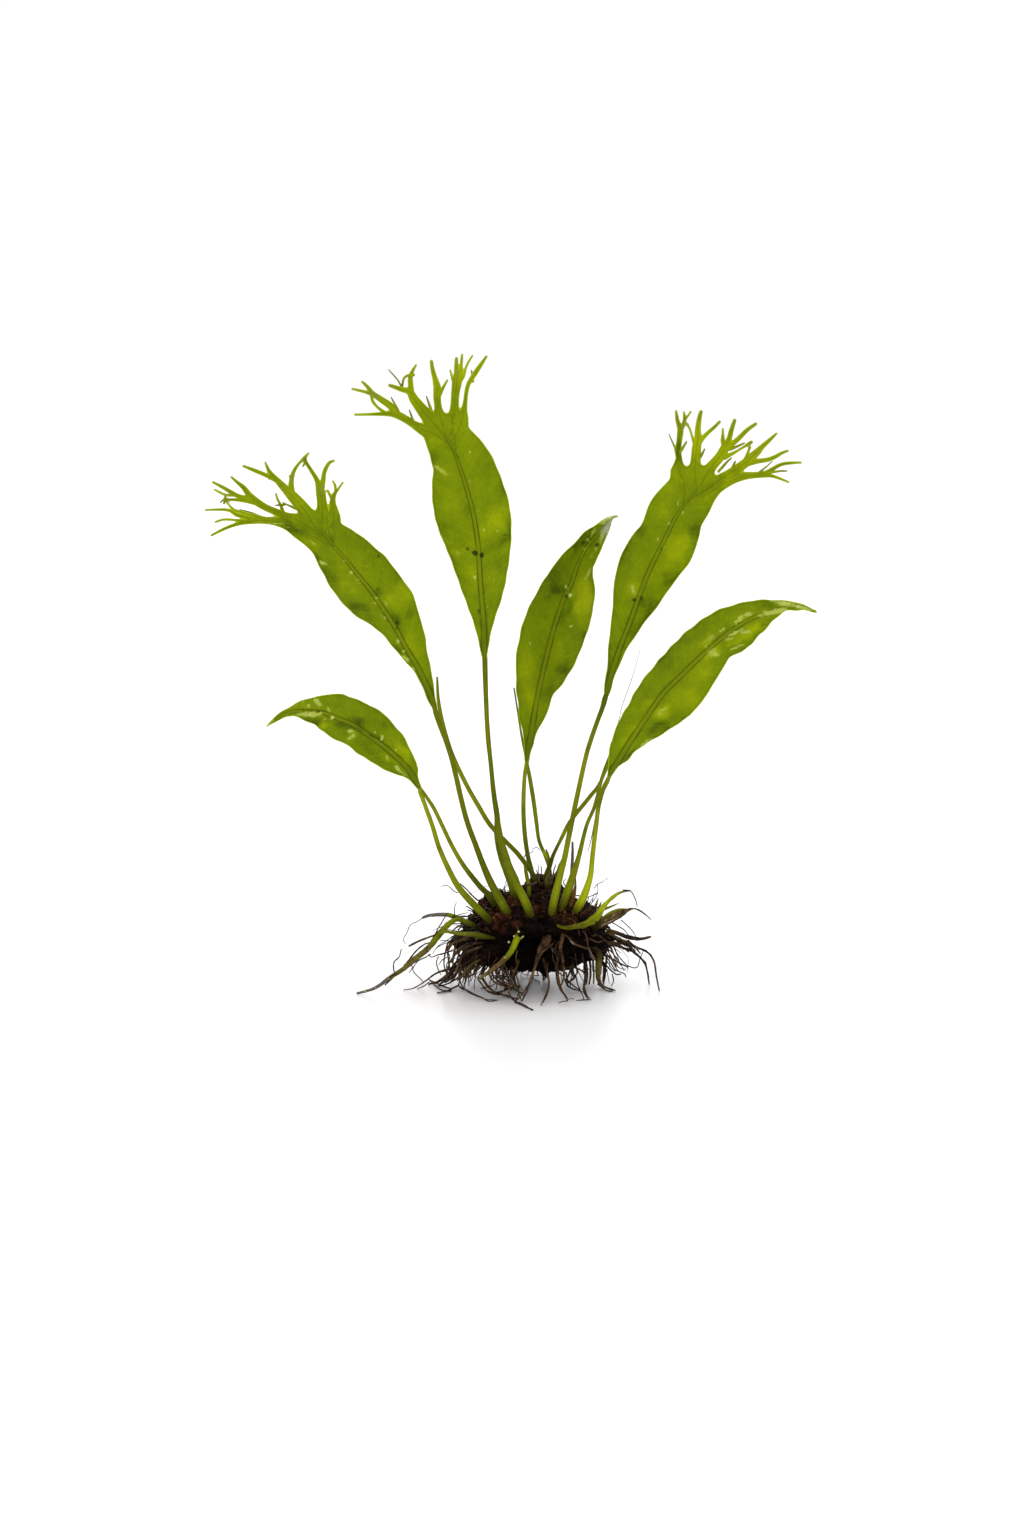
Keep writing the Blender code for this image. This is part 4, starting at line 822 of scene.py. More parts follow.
def corePoint(spot):
    # place on the clump's rough surface for a place on a ball
    direction = spot.normalized()
    point = clumpPoint(direction)
    height, scale = clump["rolling"]
    rough = height * noise.fractal(point * scale, 0.9, 2.1, 4)
    height, scale = clump["gritty"]
    rough += height * noise.noise(point * scale)
    height, scale = clump["pitted"]
    rough += height * (noise.voronoi(point * scale)[0][0] - 0.4)
    point += direction * rough
    point.z = max(point.z, 0.0)
    return point



plainFrondLeft = {
    "stalk": [(-335, 540, -200, 62), (-321, 501, -192, 60), (-301, 445, -180, 62), (-284, 389, -168, 66),
        (-260, 333, -156, 74), (-230, 277, -146, 86), (-188, 228, -136, 100), (-140, 179, -124, 105),
        (-112, 154, -106, 100)],
    "fresh": (0.54, 0.68, 0.55, 0.52, 0.5, 0.4, 0.25, 0.2, 0.1),
    "blade": [(-334, 536, 4, 4, -199), (-338, 554, 7.5, 7.5, -201), (-346, 570, 11, 10, -205),
        (-357, 586, 17, 15, -211), (-377, 614, 32, 32, -220), (-426, 659, 55, 57, -245),
        (-475, 696, 58, 72, -270), (-524, 729, 59, 71, -295), (-566, 746, 55, 68, -315),
        (-606, 762, 41, 51, -330), (-648, 766, 29, 35, -345), (-689, 766, 14, 19, -360),
        (-730, 750, 6, 9, -373), (-763, 724, 3.5, 3.5, -380)],
    "tilt": 0.3, "cup": -0.018, "scallop": 0.18, "wavy": 1.1,
    "patches": [(-574, 792, 28, 14, 0, -4), (-672, 784, 39, 14, 20, 3), (-636, 739, 28, 8, -10, -9),
        (-613, 725, 14, 11, 0, 8), (-549, 731, 45, 17, -10, -8), (-507, 728, 17, 14, 0, -8),
        (-529, 703, 20, 14, 20, 6), (-487, 706, 28, 11, -40, -8), (-456, 692, 17, 11, -40, -8),
        (-431, 666, 25, 8, -45, -6), (-426, 722, 17, 17, 0, -3.5), (-395, 661, 25, 17, -45, 8),
        (-378, 638, 22, 14, -50, 4), (-476, 658, 45, 20, -35, -5), (-426, 638, 17, 11, -60, 3),
        (-434, 616, 34, 11, -30, -6), (-381, 622, 22, 8, -50, -4.5)],
    "marks": [(-647, 759, 34, 7, 3, 9), (-624, 756, 17, 4, 15, 6), (-622, 792, 17, 7, -50, 8),
        (-647, 781, 5, 4, 0, 8), (-591, 770, 7, 3, -50, 9), (-582, 748, 6, 4, 0, 12),
        (-602, 745, 4, 4, 0, 6), (-529, 711, 11, 4, 0, 7), (-532, 692, 11, 4, 30, 7),
        (-521, 694, 4, 11, 0, 5), (-442, 692, 4, 7, 0, 12), (-462, 708, 3, 4, 0, 7),
        (-428, 638, 4, 9, 0, 6), (-403, 658, 4, 6, 0, 6), (-400, 608, 10, 4, -30, 9),
        (-386, 594, 17, 4, -35, 6), (-708, 750, 22, 4, 12, 8), (-756, 734, 14, 4, 48, 7),
        (-678, 787, 25, 3, 22, 4), (-641, 768, 42, 3, -2, -7), (-504, 717, 14, 3, -40, -6),
        (-470, 697, 14, 3, -40, -6), (-560, 767, 14, 3, -15, -4)],
}

plainFrondMiddle = {
    "stalk": [(-38, 616, 139, 60), (-43, 585, 136, 58), (-46, 529, 130, 62), (-46, 473, 122, 64),
        (-42, 417, 114, 66), (-34, 361, 106, 66), (-22, 312, 98, 74), (-16, 265, 92, 76)],
    "fresh": (0.45, 0.5, 0.55, 0.45, 0.34, 0.15, 0.1, 0.1),
    "blade": [(-38, 610, 4, 4, 139), (-35, 642, 9, 9, 142), (-31, 670, 14, 11, 145),
        (-25, 700, 23, 12, 150), (-14, 770, 47, 33, 160), (0, 841, 67, 47, 170), (18, 918, 84, 80, 182),
        (41, 1006, 87, 93, 196), (65, 1077, 77, 87, 208), (88, 1124, 71, 64, 217), (106, 1177, 51, 43, 226),
        (130, 1224, 34, 41, 233), (159, 1259, 27, 26, 237), (188, 1291, 16, 12, 240),
        (201, 1308, 6, 5, 241), (216, 1313, 2.2, 2.2, 242)],
    "tilt": -0.38, "cup": 0.02, "scallop": 0.2, "wavy": 0.9,
    "faded": [(208, 1296, 46, 44, 0, 13)],
    "patches": [(160, 1280, 20, 17, 0, 2), (106, 1229, 42, 22, 50, -7.5), (140, 1246, 14, 25, 0, -4),
        (53, 1151, 62, 25, 48, -6), (45, 1100, 25, 20, 20, -12), (120, 1078, 25, 59, -5, 14),
        (64, 1044, 14, 50, -25, -7), (-8, 1058, 34, 34, 0, -3.5), (-28, 988, 25, 28, 0, 3),
        (-42, 888, 25, 67, 0, 7), (-22, 798, 17, 45, 0, 6), (59, 944, 28, 34, -20, 4.5),
        (126, 972, 11, 17, 0, -5), (59, 885, 25, 14, 40, -7), (22, 820, 28, 17, 55, -6),
        (11, 904, 11, 50, -12, -3)],
    "marks": [(179, 1305, 28, 11, 25, 10), (204, 1316, 17, 8, 15, 12), (73, 1114, 3, 8, 0, 9),
        (84, 1092, 6, 6, 0, 13), (87, 1005, 5, 4, 0, 10), (78, 1025, 4, 4, 0, 5), (-28, 958, 4, 4, 0, 7),
        (-42, 966, 3, 3, 0, 4), (28, 918, 3, 3, 0, 7), (134, 1151, 28, 6, 62, 4), (174, 1254, 25, 5, 75, 7),
        (148, 1268, 14, 3, 65, 6), (134, 1246, 11, 3, -30, 4.5), (126, 1221, 6, 10, 10, 4),
        (157, 1221, 4, 7, 0, 5), (160, 1232, 8, 6, 20, -6), (120, 1238, 8, 8, 0, -4),
        (140, 1277, 8, 6, 0, -4), (146, 1201, 7, 14, -15, 3.5), (73, 1089, 6, 6, 0, -9),
        (109, 1184, 4, 17, -25, -3.5)],
}

plainFrondRight = {
    "stalk": [(187, 568, -176, 68), (177, 548, -171, 64), (164, 501, -162, 64), (157, 445, -152, 66),
        (147, 361, -138, 68), (141, 305, -129, 80), (123, 249, -120, 110), (106, 216, -114, 115),
        (84, 164, -96, 100)],
    "fresh": (0.5, 0.25, 0.4, 0.6, 0.75, 0.85, 1.2, 0.8, 0.3),
    "blade": [(186, 564, 4, 4, -176), (196, 589, 8, 8, -181), (205, 605, 15, 9, -184),
        (217, 624, 26, 13, -187), (231, 647, 39, 21, -191), (249, 676, 51, 29, -196),
        (297, 748, 63, 62, -212), (345, 816, 69, 95, -230), (393, 864, 76, 91, -246),
        (442, 912, 79, 73, -263), (490, 956, 77, 58, -278), (538, 994, 67, 65, -293),
        (586, 1023, 51, 52, -306), (635, 1042, 38, 28, -318), (683, 1057, 20, 13, -328),
        (731, 1059, 9, 10, -336), (772, 1046, 3.5, 3.5, -340)],
    "tilt": -0.32, "cup": -0.014, "scallop": 0.2, "wavy": 1.1,
    "patches": [(633, 1061, 28, 14, 0, -5), (594, 988, 39, 17, 25, 11), (546, 972, 28, 11, 30, 8),
        (577, 1030, 22, 11, 20, 5), (526, 1016, 39, 14, 35, 3), (484, 930, 22, 17, 30, 10),
        (465, 966, 22, 17, 40, 7), (420, 974, 62, 22, 42, -4.5), (342, 910, 34, 25, 40, -8),
        (288, 834, 42, 28, 50, -4.5), (454, 876, 39, 34, 0, 6.5), (414, 806, 53, 39, 20, 6.5),
        (339, 764, 22, 17, 40, 9), (358, 832, 25, 14, 45, -5), (302, 781, 17, 28, -30, 4),
        (252, 697, 53, 17, 55, 7), (330, 725, 42, 14, 25, -6), (406, 753, 28, 14, 20, -4),
        (246, 644, 20, 14, 40, -8)],
    "marks": [(694, 1067, 50, 6, -10, 6), (736, 1056, 36, 4, -16, 8), (683, 1067, 17, 8, 0, 6),
        (664, 1047, 31, 7, 14, 9), (627, 1039, 22, 7, 20, 5), (585, 1039, 14, 7, 25, 7),
        (560, 1025, 11, 7, 55, 9), (549, 1014, 5, 8, 0, 7), (540, 983, 31, 4, 26, 7),
        (574, 988, 17, 6, 10, 6), (532, 969, 14, 3, 20, 5), (484, 932, 17, 10, 30, 6),
        (493, 924, 7, 5, 0, 8), (465, 949, 4, 6, 0, 7), (479, 972, 20, 7, 35, 4), (459, 958, 4, 7, 0, 4),
        (510, 994, 14, 4, 35, 5), (336, 764, 11, 11, 0, 3.5), (347, 773, 11, 3, 30, 5),
        (552, 946, 25, 4, 22, 6), (297, 680, 20, 4, 35, 7), (207, 720, 4, 20, -20, 6),
        (174, 588, 4, 11, -25, 5), (714, 1064, 14, 3, -10, -6), (627, 1008, 17, 4, 10, -4)],
}

crestedFrondLeft = {
    "stalk": [(-292, 764, -35, 78), (-279, 725, -44, 70), (-258, 669, -58, 70), (-242, 613, -72, 70),
        (-216, 501, -98, 72), (-200, 445, -108, 74), (-179, 389, -116, 78), (-158, 333, -122, 88),
        (-133, 277, -128, 105), (-102, 221, -130, 120), (-74, 166, -114, 105)],
    "fresh": (0.15, 0.18, 0.22, 0.2, 0.17, 0.1, 0.05, 0.1, 0.15, 0.15),
    "blade": [(-290, 758, 4, 4, -36), (-298, 787, 9, 9, -31), (-309, 820, 14, 15, -25),
        (-340, 885, 16, 34, -14), (-374, 942, 28, 59, -2), (-407, 1004, 40, 75, 12),
        (-436, 1049, 56, 91, 22), (-473, 1103, 81, 92, 36), (-510, 1148, 82, 90, 50),
        (-542, 1189, 76, 81, 62), (-575, 1226, 62, 68, 74), (-596, 1254, 56, 54, 82),
        (-620, 1282, 46, 44, 90)],
    "tilt": 0.34, "cup": 0.016, "scallop": 0.22, "wavy": 1,
    "fingers": [
        (-8, [[(-624, 1238, 240), (-672, 1266, 200), (-706, 1287, 150), (-742, 1298, 120),
            (-778, 1301, 100), (-812, 1298, 81), (-837, 1294, 64), (-865, 1285, 50), (-889, 1275, 45),
            (-920, 1259, 34)],
            [(-823, 1299, 56), (-846, 1301, 42), (-865, 1303, 36), (-889, 1303, 36), (-909, 1296, 31)],
            [(-795, 1302, 67), (-832, 1312, 64), (-851, 1317, 59), (-865, 1327, 50), (-882, 1331, 45),
            (-913, 1331, 34), (-937, 1330, 30)],
            [(-756, 1302, 62), (-804, 1315, 48), (-834, 1324, 42), (-857, 1331, 39), (-874, 1348, 31),
            (-883, 1361, 30)]]),
        (5, [[(-630, 1271, 220), (-672, 1299, 180), (-711, 1313, 110), (-742, 1326, 100), (-770, 1338, 100),
            (-795, 1354, 110), (-815, 1373, 90), (-829, 1392, 73), (-847, 1407, 50), (-864, 1422, 36)],
            [(-806, 1361, 90), (-840, 1367, 67), (-865, 1380, 62), (-889, 1394, 53), (-916, 1408, 36)],
            [(-857, 1371, 42), (-879, 1372, 36), (-896, 1379, 36), (-911, 1387, 31)],
            [(-795, 1350, 78), (-820, 1355, 62), (-843, 1358, 50), (-862, 1359, 42), (-882, 1359, 30)],
            [(-717, 1316, 62), (-725, 1341, 45), (-736, 1362, 36), (-739, 1375, 30)]]),
        (-3, [[(-622, 1268, 220), (-641, 1302, 220), (-664, 1336, 180), (-690, 1365, 160),
            (-713, 1389, 120), (-734, 1411, 90), (-755, 1434, 62), (-763, 1448, 48), (-769, 1463, 31)],
            [(-731, 1408, 67), (-762, 1425, 62), (-795, 1439, 59), (-830, 1453, 39)],
            [(-694, 1375, 100), (-697, 1401, 80), (-694, 1424, 67), (-687, 1443, 53), (-672, 1464, 39),
            (-659, 1476, 31)],
            [(-696, 1411, 45), (-701, 1426, 30)]]),
        (7, [[(-610, 1274, 220), (-609, 1319, 170), (-611, 1352, 140), (-615, 1380, 130), (-623, 1410, 78),
            (-637, 1435, 59), (-651, 1457, 50), (-659, 1474, 39), (-648, 1489, 30)],
            [(-612, 1392, 90), (-607, 1414, 73), (-605, 1431, 64), (-598, 1450, 59), (-588, 1464, 48),
            (-577, 1468, 34)]]),
        (-4, [[(-585, 1280, 220), (-578, 1300, 220), (-576, 1320, 150), (-580, 1344, 100), (-580, 1361, 80),
            (-577, 1373, 62), (-567, 1386, 39), (-552, 1407, 30)],
            [(-576, 1369, 56), (-572, 1386, 45), (-574, 1400, 39), (-580, 1411, 30)],
            [(-581, 1358, 50), (-588, 1372, 39), (-594, 1385, 30)]])],
    "forks": [[(-575, 1226), (-625, 1250), (-675, 1274)], [(-575, 1226), (-590, 1274), (-599, 1316)]],
    "spurs": [(2.5, [(-777, 1310, 25), (-812, 1323, 25), (-841, 1331, 14)]),
        (-1, [(-883, 1358, 25), (-889, 1357, 22), (-895, 1350, 14)]),
        (1, [(-883, 1359, 25), (-881, 1371, 14)]), (-1, [(-726, 1344, 28), (-741, 1343, 14)]),
        (1, [(-688, 1336, 34), (-704, 1343, 25), (-721, 1351, 14)]),
        (1, [(-760, 1428, 28), (-764, 1448, 17)]), (-1, [(-661, 1457, 25), (-664, 1451, 14)])],
    "patches": [(-689, 1277, 36, 20, -15, -11), (-610, 1252, 28, 17, -30, -5),
        (-636, 1232, 34, 11, -40, 3.5), (-627, 1198, 22, 17, -35, -8), (-512, 1232, 62, 34, -40, -2),
        (-588, 1145, 39, 22, -55, -7.5), (-532, 1120, 28, 28, 0, 2.5), (-462, 1103, 17, 14, 0, -8),
        (-398, 1142, 17, 22, 40, -6), (-378, 1098, 34, 39, 0, 5.5), (-423, 1070, 22, 28, 0, 6),
        (-504, 1053, 48, 17, -32, -8), (-403, 1016, 39, 14, -57, -7), (-356, 1042, 20, 17, 0, -5),
        (-358, 960, 20, 53, 25, 9), (-322, 966, 17, 39, 20, 4), (-409, 938, 36, 14, -45, -6),
        (-336, 871, 28, 14, -55, 3), (-305, 815, 17, 22, 0, -3)],
    "marks": [(-608, 1182, 14, 4, -25, 8), (-529, 1156, 5, 6, 0, 6), (-462, 1070, 8, 4, 0, 7),
        (-459, 1084, 4, 4, 0, 5), (-431, 1067, 4, 8, 20, 5), (-398, 963, 4, 6, 0, 9),
        (-381, 935, 4, 4, 0, 8), (-375, 913, 14, 6, -45, 6), (-356, 885, 7, 4, -50, 5),
        (-585, 1268, 17, 3, -70, 4), (-636, 1240, 10, 3, -50, 5), (-440, 1030, 17, 3, -12, 4),
        (-510, 1134, 5, 3, 0, 4), (-549, 1187, 4, 4, 0, 3), (-685, 1276, 30, 8, -18, -3),
        (-756, 1293, 53, 2.5, -2, 6), (-694, 1280, 22, 2.5, -12, 7), (-451, 1201, 7, 4, 0, -4),
        (-454, 1109, 8, 5, 20, -6), (-398, 1016, 6, 8, 0, -6), (-403, 997, 6, 8, 0, -5)],
}

crestedFrondMiddle = {
    "stalk": [(-155, 910, -100, 70), (-151, 798, -106, 66), (-146, 697, -112, 64), (-137, 613, -118, 62),
        (-129, 529, -123, 66), (-111, 417, -130, 78), (-95, 361, -134, 90), (-77, 305, -138, 105),
        (-42, 235, -142, 120), (-28, 199, -138, 120), (-12, 152, -120, 110)],
    "fresh": (0.04, 0.15, 0.22, 0.22, 0.1, 0.06, 0.15, 0.25, 0.35, 0.3),
    "blade": [(-155, 903, 4, 4, -100), (-155, 927, 9.5, 9.5, -99), (-156, 954, 14, 14, -98),
        (-158, 1022, 30, 29, -92), (-167, 1128, 57, 69, -82), (-173, 1228, 86, 91, -72),
        (-186, 1315, 105, 103, -64), (-204, 1384, 99, 102, -57), (-223, 1446, 78, 94, -50),
        (-242, 1497, 70, 75, -45), (-264, 1538, 60, 62, -40)],
    "tilt": 0.16, "cup": -0.022, "scallop": 0.18, "wavy": 0.9,
    "fingers": [
        (-6, [[(-260, 1518, 310), (-297, 1543, 220), (-328, 1555, 160), (-356, 1571, 110),
            (-379, 1586, 110), (-406, 1599, 110), (-426, 1600, 78), (-445, 1599, 59), (-476, 1598, 42),
            (-518, 1597, 34)],
            [(-403, 1604, 110), (-421, 1623, 100), (-447, 1641, 90), (-468, 1656, 73), (-484, 1676, 53),
            (-498, 1689, 36)],
            [(-468, 1653, 62), (-487, 1660, 50), (-525, 1669, 34)],
            [(-434, 1602, 56), (-454, 1617, 42), (-469, 1635, 45), (-472, 1649, 45)]]),
        (4, [[(-260, 1534, 280), (-288, 1562, 220), (-311, 1588, 200), (-333, 1614, 160), (-354, 1642, 130),
            (-365, 1662, 100), (-386, 1667, 73), (-406, 1674, 62), (-421, 1679, 48)],
            [(-361, 1655, 100), (-362, 1680, 80), (-363, 1702, 70), (-356, 1721, 48), (-347, 1736, 30)]]),
        (-8, [[(-260, 1537, 250), (-277, 1579, 180), (-285, 1616, 110), (-288, 1646, 110),
            (-288, 1673, 110), (-294, 1698, 80), (-301, 1725, 62), (-304, 1746, 50)],
            [(-281, 1653, 62), (-271, 1673, 45), (-260, 1693, 30)]]),
        (5, [[(-252, 1537, 250), (-241, 1585, 180), (-239, 1624, 120), (-237, 1658, 120), (-232, 1691, 140),
            (-231, 1711, 110), (-234, 1733, 67), (-234, 1754, 48)],
            [(-223, 1697, 73), (-221, 1730, 53), (-218, 1765, 34)],
            [(-224, 1691, 62), (-214, 1705, 45), (-209, 1725, 39), (-200, 1745, 34), (-189, 1762, 30)],
            [(-242, 1688, 45), (-248, 1708, 31), (-251, 1721, 30)]]),
        (-5, [[(-238, 1532, 250), (-221, 1574, 210), (-213, 1607, 100), (-209, 1635, 62), (-206, 1660, 59),
            (-200, 1683, 62), (-183, 1711, 73), (-167, 1735, 62), (-150, 1760, 36)]])],
    "forks": [[(-230, 1472), (-261, 1524), (-294, 1571)], [(-230, 1472), (-244, 1555), (-246, 1596)]],
    "spurs": [(-1, [(-402, 1618, 28), (-417, 1646, 14)]),
        (2.5, [(-364, 1707, 36), (-372, 1706, 31), (-382, 1697, 25), (-387, 1676, 25), (-399, 1695, 17),
            (-424, 1723, 11)]),
        (1.5, [(-386, 1676, 20), (-379, 1668, 17), (-367, 1665, 14)]),
        (-1, [(-356, 1582, 31), (-366, 1610, 14)]), (1, [(-307, 1616, 36), (-318, 1648, 14)]),
        (1.5, [(-189, 1700, 28), (-192, 1721, 17)])],
    "patches": [(-215, 1700, 45, 45, 0, 7), (-300, 1700, 25, 50, 0, 5), (-123, 1302, 56, 31, 62, 7.5),
        (-252, 1386, 28, 67, 0, 4.5), (-274, 1442, 28, 11, -35, 5), (-207, 1484, 22, 39, 0, 2.5),
        (-297, 1470, 20, 25, 0, -6), (-246, 1512, 14, 50, 25, -3.5), (-104, 1392, 14, 25, 0, -5.5),
        (-148, 1442, 20, 45, 0, -3), (-263, 1280, 28, 17, -30, -4.5), (-196, 1322, 14, 28, 0, -4),
        (-126, 1238, 48, 17, 30, -7.5), (-90, 1268, 14, 34, 0, -5), (-112, 1184, 25, 28, 0, -4.5),
        (-230, 1210, 14, 14, 0, 7), (-235, 1162, 14, 34, 25, -4), (-182, 1148, 20, 39, 0, 3.5),
        (-132, 1112, 14, 39, 0, 3), (-118, 1078, 14, 28, 0, -3), (-157, 988, 11, 62, 0, -7)],
    "marks": [(-277, 1442, 25, 6, -35, 5), (-230, 1210, 14, 4, -55, 4), (-196, 1408, 3, 11, 15, 3.5),
        (-120, 1271, 4, 4, 0, 8), (-157, 1274, 4, 4, 0, 5), (-143, 1142, 3, 6, 0, 5),
        (-182, 1142, 4, 5, 0, 6), (-129, 1134, 3, 6, 0, 4), (-196, 1490, 3, 4, 0, 5),
        (-232, 1490, 3, 3, 0, 4), (-274, 1254, 4, 10, 20, 4), (-182, 1210, 8, 7, 0, -14),
        (-162, 1204, 6, 7, 0, -12), (-202, 1221, 5, 5, 0, -8), (-171, 1044, 4, 10, 0, -7),
        (-157, 1098, 3, 11, 0, -4), (-95, 1260, 8, 3, 0, -6)],
}

crestedFrondRight = {
    "stalk": [(182, 802, 4, 80), (175, 776, -2, 70), (166, 753, -8, 66), (146, 697, -24, 66),
        (129, 641, -40, 66), (104, 529, -68, 70), (81, 417, -96, 76), (70, 361, -108, 80),
        (56, 305, -119, 92), (41, 244, -128, 110), (31, 188, -128, 120), (28, 146, -114, 105)],
    "fresh": (0.07, 0.1, 0.27, 0.45, 0.5, 0.12, 0.4, 0.46, 0.43, 0.4),
    "blade": [(180, 795, 4, 4, 3), (188, 823, 9, 9.5, 10), (196, 857, 12, 12, 20), (206, 890, 18, 16, 29),
        (226, 949, 35, 19, 38), (256, 1027, 57, 38, 50), (277, 1087, 74, 56, 60), (298, 1142, 88, 72, 70),
        (324, 1198, 88, 85, 80), (350, 1249, 79, 90, 90), (380, 1310, 82, 77, 102),
        (414, 1357, 78, 69, 112), (440, 1390, 68, 60, 120)],
    "tilt": -0.3, "cup": -0.016, "scallop": 0.2, "wavy": 1,
    "fingers": [
        (-6, [[(420, 1386, 250), (392, 1426, 270), (388, 1453, 160), (389, 1477, 90), (386, 1497, 100),
            (389, 1516, 80), (392, 1540, 90), (393, 1558, 90), (386, 1576, 62), (383, 1593, 50),
            (381, 1607, 34)],
            [(395, 1554, 67), (401, 1569, 56), (405, 1584, 50), (403, 1604, 31)],
            [(405, 1582, 39), (413, 1592, 30), (422, 1605, 30)]]),
        (5, [[(440, 1392, 250), (434, 1431, 180), (435, 1459, 150), (437, 1484, 140), (439, 1509, 130),
            (443, 1530, 110), (442, 1551, 90), (444, 1574, 76), (448, 1595, 62), (451, 1605, 53)],
            [(445, 1518, 80), (456, 1532, 67), (470, 1546, 56), (487, 1561, 50), (503, 1577, 42)],
            [(433, 1509, 45), (427, 1532, 36), (421, 1553, 31), (413, 1570, 30)]]),
        (-5, [[(448, 1392, 280), (465, 1428, 200), (484, 1456, 150), (503, 1478, 140), (517, 1502, 130),
            (529, 1527, 81), (536, 1554, 70), (545, 1581, 53)],
            [(522, 1504, 100), (542, 1518, 76), (561, 1535, 67), (580, 1554, 62), (604, 1571, 48)],
            [(517, 1504, 78), (512, 1525, 67), (512, 1542, 42), (512, 1557, 31)],
            [(518, 1478, 80), (543, 1490, 45), (563, 1502, 34), (580, 1513, 42), (592, 1520, 48)]]),
        (6, [[(456, 1380, 280), (493, 1408, 180), (526, 1429, 130), (554, 1447, 130), (577, 1463, 130),
            (595, 1480, 120), (610, 1494, 100), (624, 1509, 73), (644, 1527, 56), (662, 1544, 34)],
            [(585, 1462, 90), (612, 1467, 70), (638, 1471, 64), (657, 1478, 59), (676, 1489, 48),
            (694, 1496, 34)],
            [(574, 1470, 56), (582, 1490, 39), (588, 1505, 30)]]),
        (-4, [[(456, 1366, 280), (498, 1394, 180), (535, 1413, 130), (573, 1425, 110), (605, 1428, 90),
            (630, 1431, 90), (650, 1444, 62), (676, 1458, 53), (705, 1462, 45), (731, 1463, 31)],
            [(624, 1428, 80), (647, 1426, 53), (669, 1419, 42), (696, 1408, 31)]])],
    "forks": [[(400, 1338), (404, 1394), (392, 1448)], [(414, 1357), (466, 1386), (518, 1411)]],
    "spurs": [(1, [(377, 1506, 25), (361, 1542, 11)]), (1.5, [(398, 1502, 36), (411, 1522, 17)]),
        (1, [(454, 1487, 28), (461, 1501, 17)]), (1.5, [(507, 1446, 34), (524, 1465, 25), (537, 1476, 14)]),
        (1, [(539, 1448, 36), (547, 1467, 17)]), (-2, [(540, 1503, 34), (556, 1510, 28), (573, 1518, 17)]),
        (-1.5, [(647, 1435, 31), (673, 1439, 25), (692, 1439, 17)]),
        (1.5, [(618, 1439, 25), (636, 1453, 17), (650, 1466, 11)])],
    "patches": [(520, 1478, 80, 50, 30, 7), (446, 1540, 26, 60, 0, 7), (615, 1500, 56, 45, 0, 8),
        (386, 1496, 20, 45, 0, -13), (358, 1406, 22, 28, 0, 6), (426, 1420, 22, 28, 0, 1.5),
        (473, 1397, 48, 11, 32, -5), (445, 1341, 28, 17, 30, 4), (342, 1330, 22, 34, -20, 3.5),
        (280, 1280, 22, 22, 0, -5.5), (235, 1212, 17, 39, -15, -6.5), (434, 1268, 20, 34, 0, -6),
        (389, 1224, 39, 53, -25, 9), (269, 1162, 28, 45, 0, 2.5), (263, 1106, 14, 25, 0, 8),
        (280, 1078, 20, 14, 0, -8), (367, 1134, 34, 20, 30, -8), (308, 1047, 22, 39, -30, -8),
        (232, 1056, 17, 56, 0, 4.5), (218, 966, 17, 39, 0, 3.5), (274, 994, 14, 28, -25, -4),
        (188, 871, 14, 56, -15, -6)],
    "marks": [(260, 1109, 7, 13, 10, 6), (269, 1095, 4, 7, 0, 5), (356, 1327, 4, 8, 20, 4),
        (386, 1350, 3, 10, -15, 5), (400, 1322, 3, 6, 0, 6), (361, 1294, 4, 7, 0, 4.5),
        (347, 1224, 3, 3, 0, 5), (330, 1249, 4, 4, 0, 6), (263, 1078, 6, 4, 0, -11),
        (283, 1084, 5, 8, 0, -6), (339, 1221, 6, 4, 0, -5), (409, 1145, 4, 4, 0, 3)],
}

fronds = {
    "plain_frond_left": plainFrondLeft,
    "plain_frond_middle": plainFrondMiddle,
    "plain_frond_right": plainFrondRight,
    "crested_frond_left": crestedFrondLeft,
    "crested_frond_middle": crestedFrondMiddle,
    "crested_frond_right": crestedFrondRight,
}
for order, (node, plan) in enumerate(fronds.items()):
    kind = node.split("_")[0]
    look = [finishes[kind + "Leaf"], finishes["stalk"]]
    made = frondPiece(node, plan, look, 11 + 10 * order)
    print("frond", node, len(made.data.polygons), "faces")

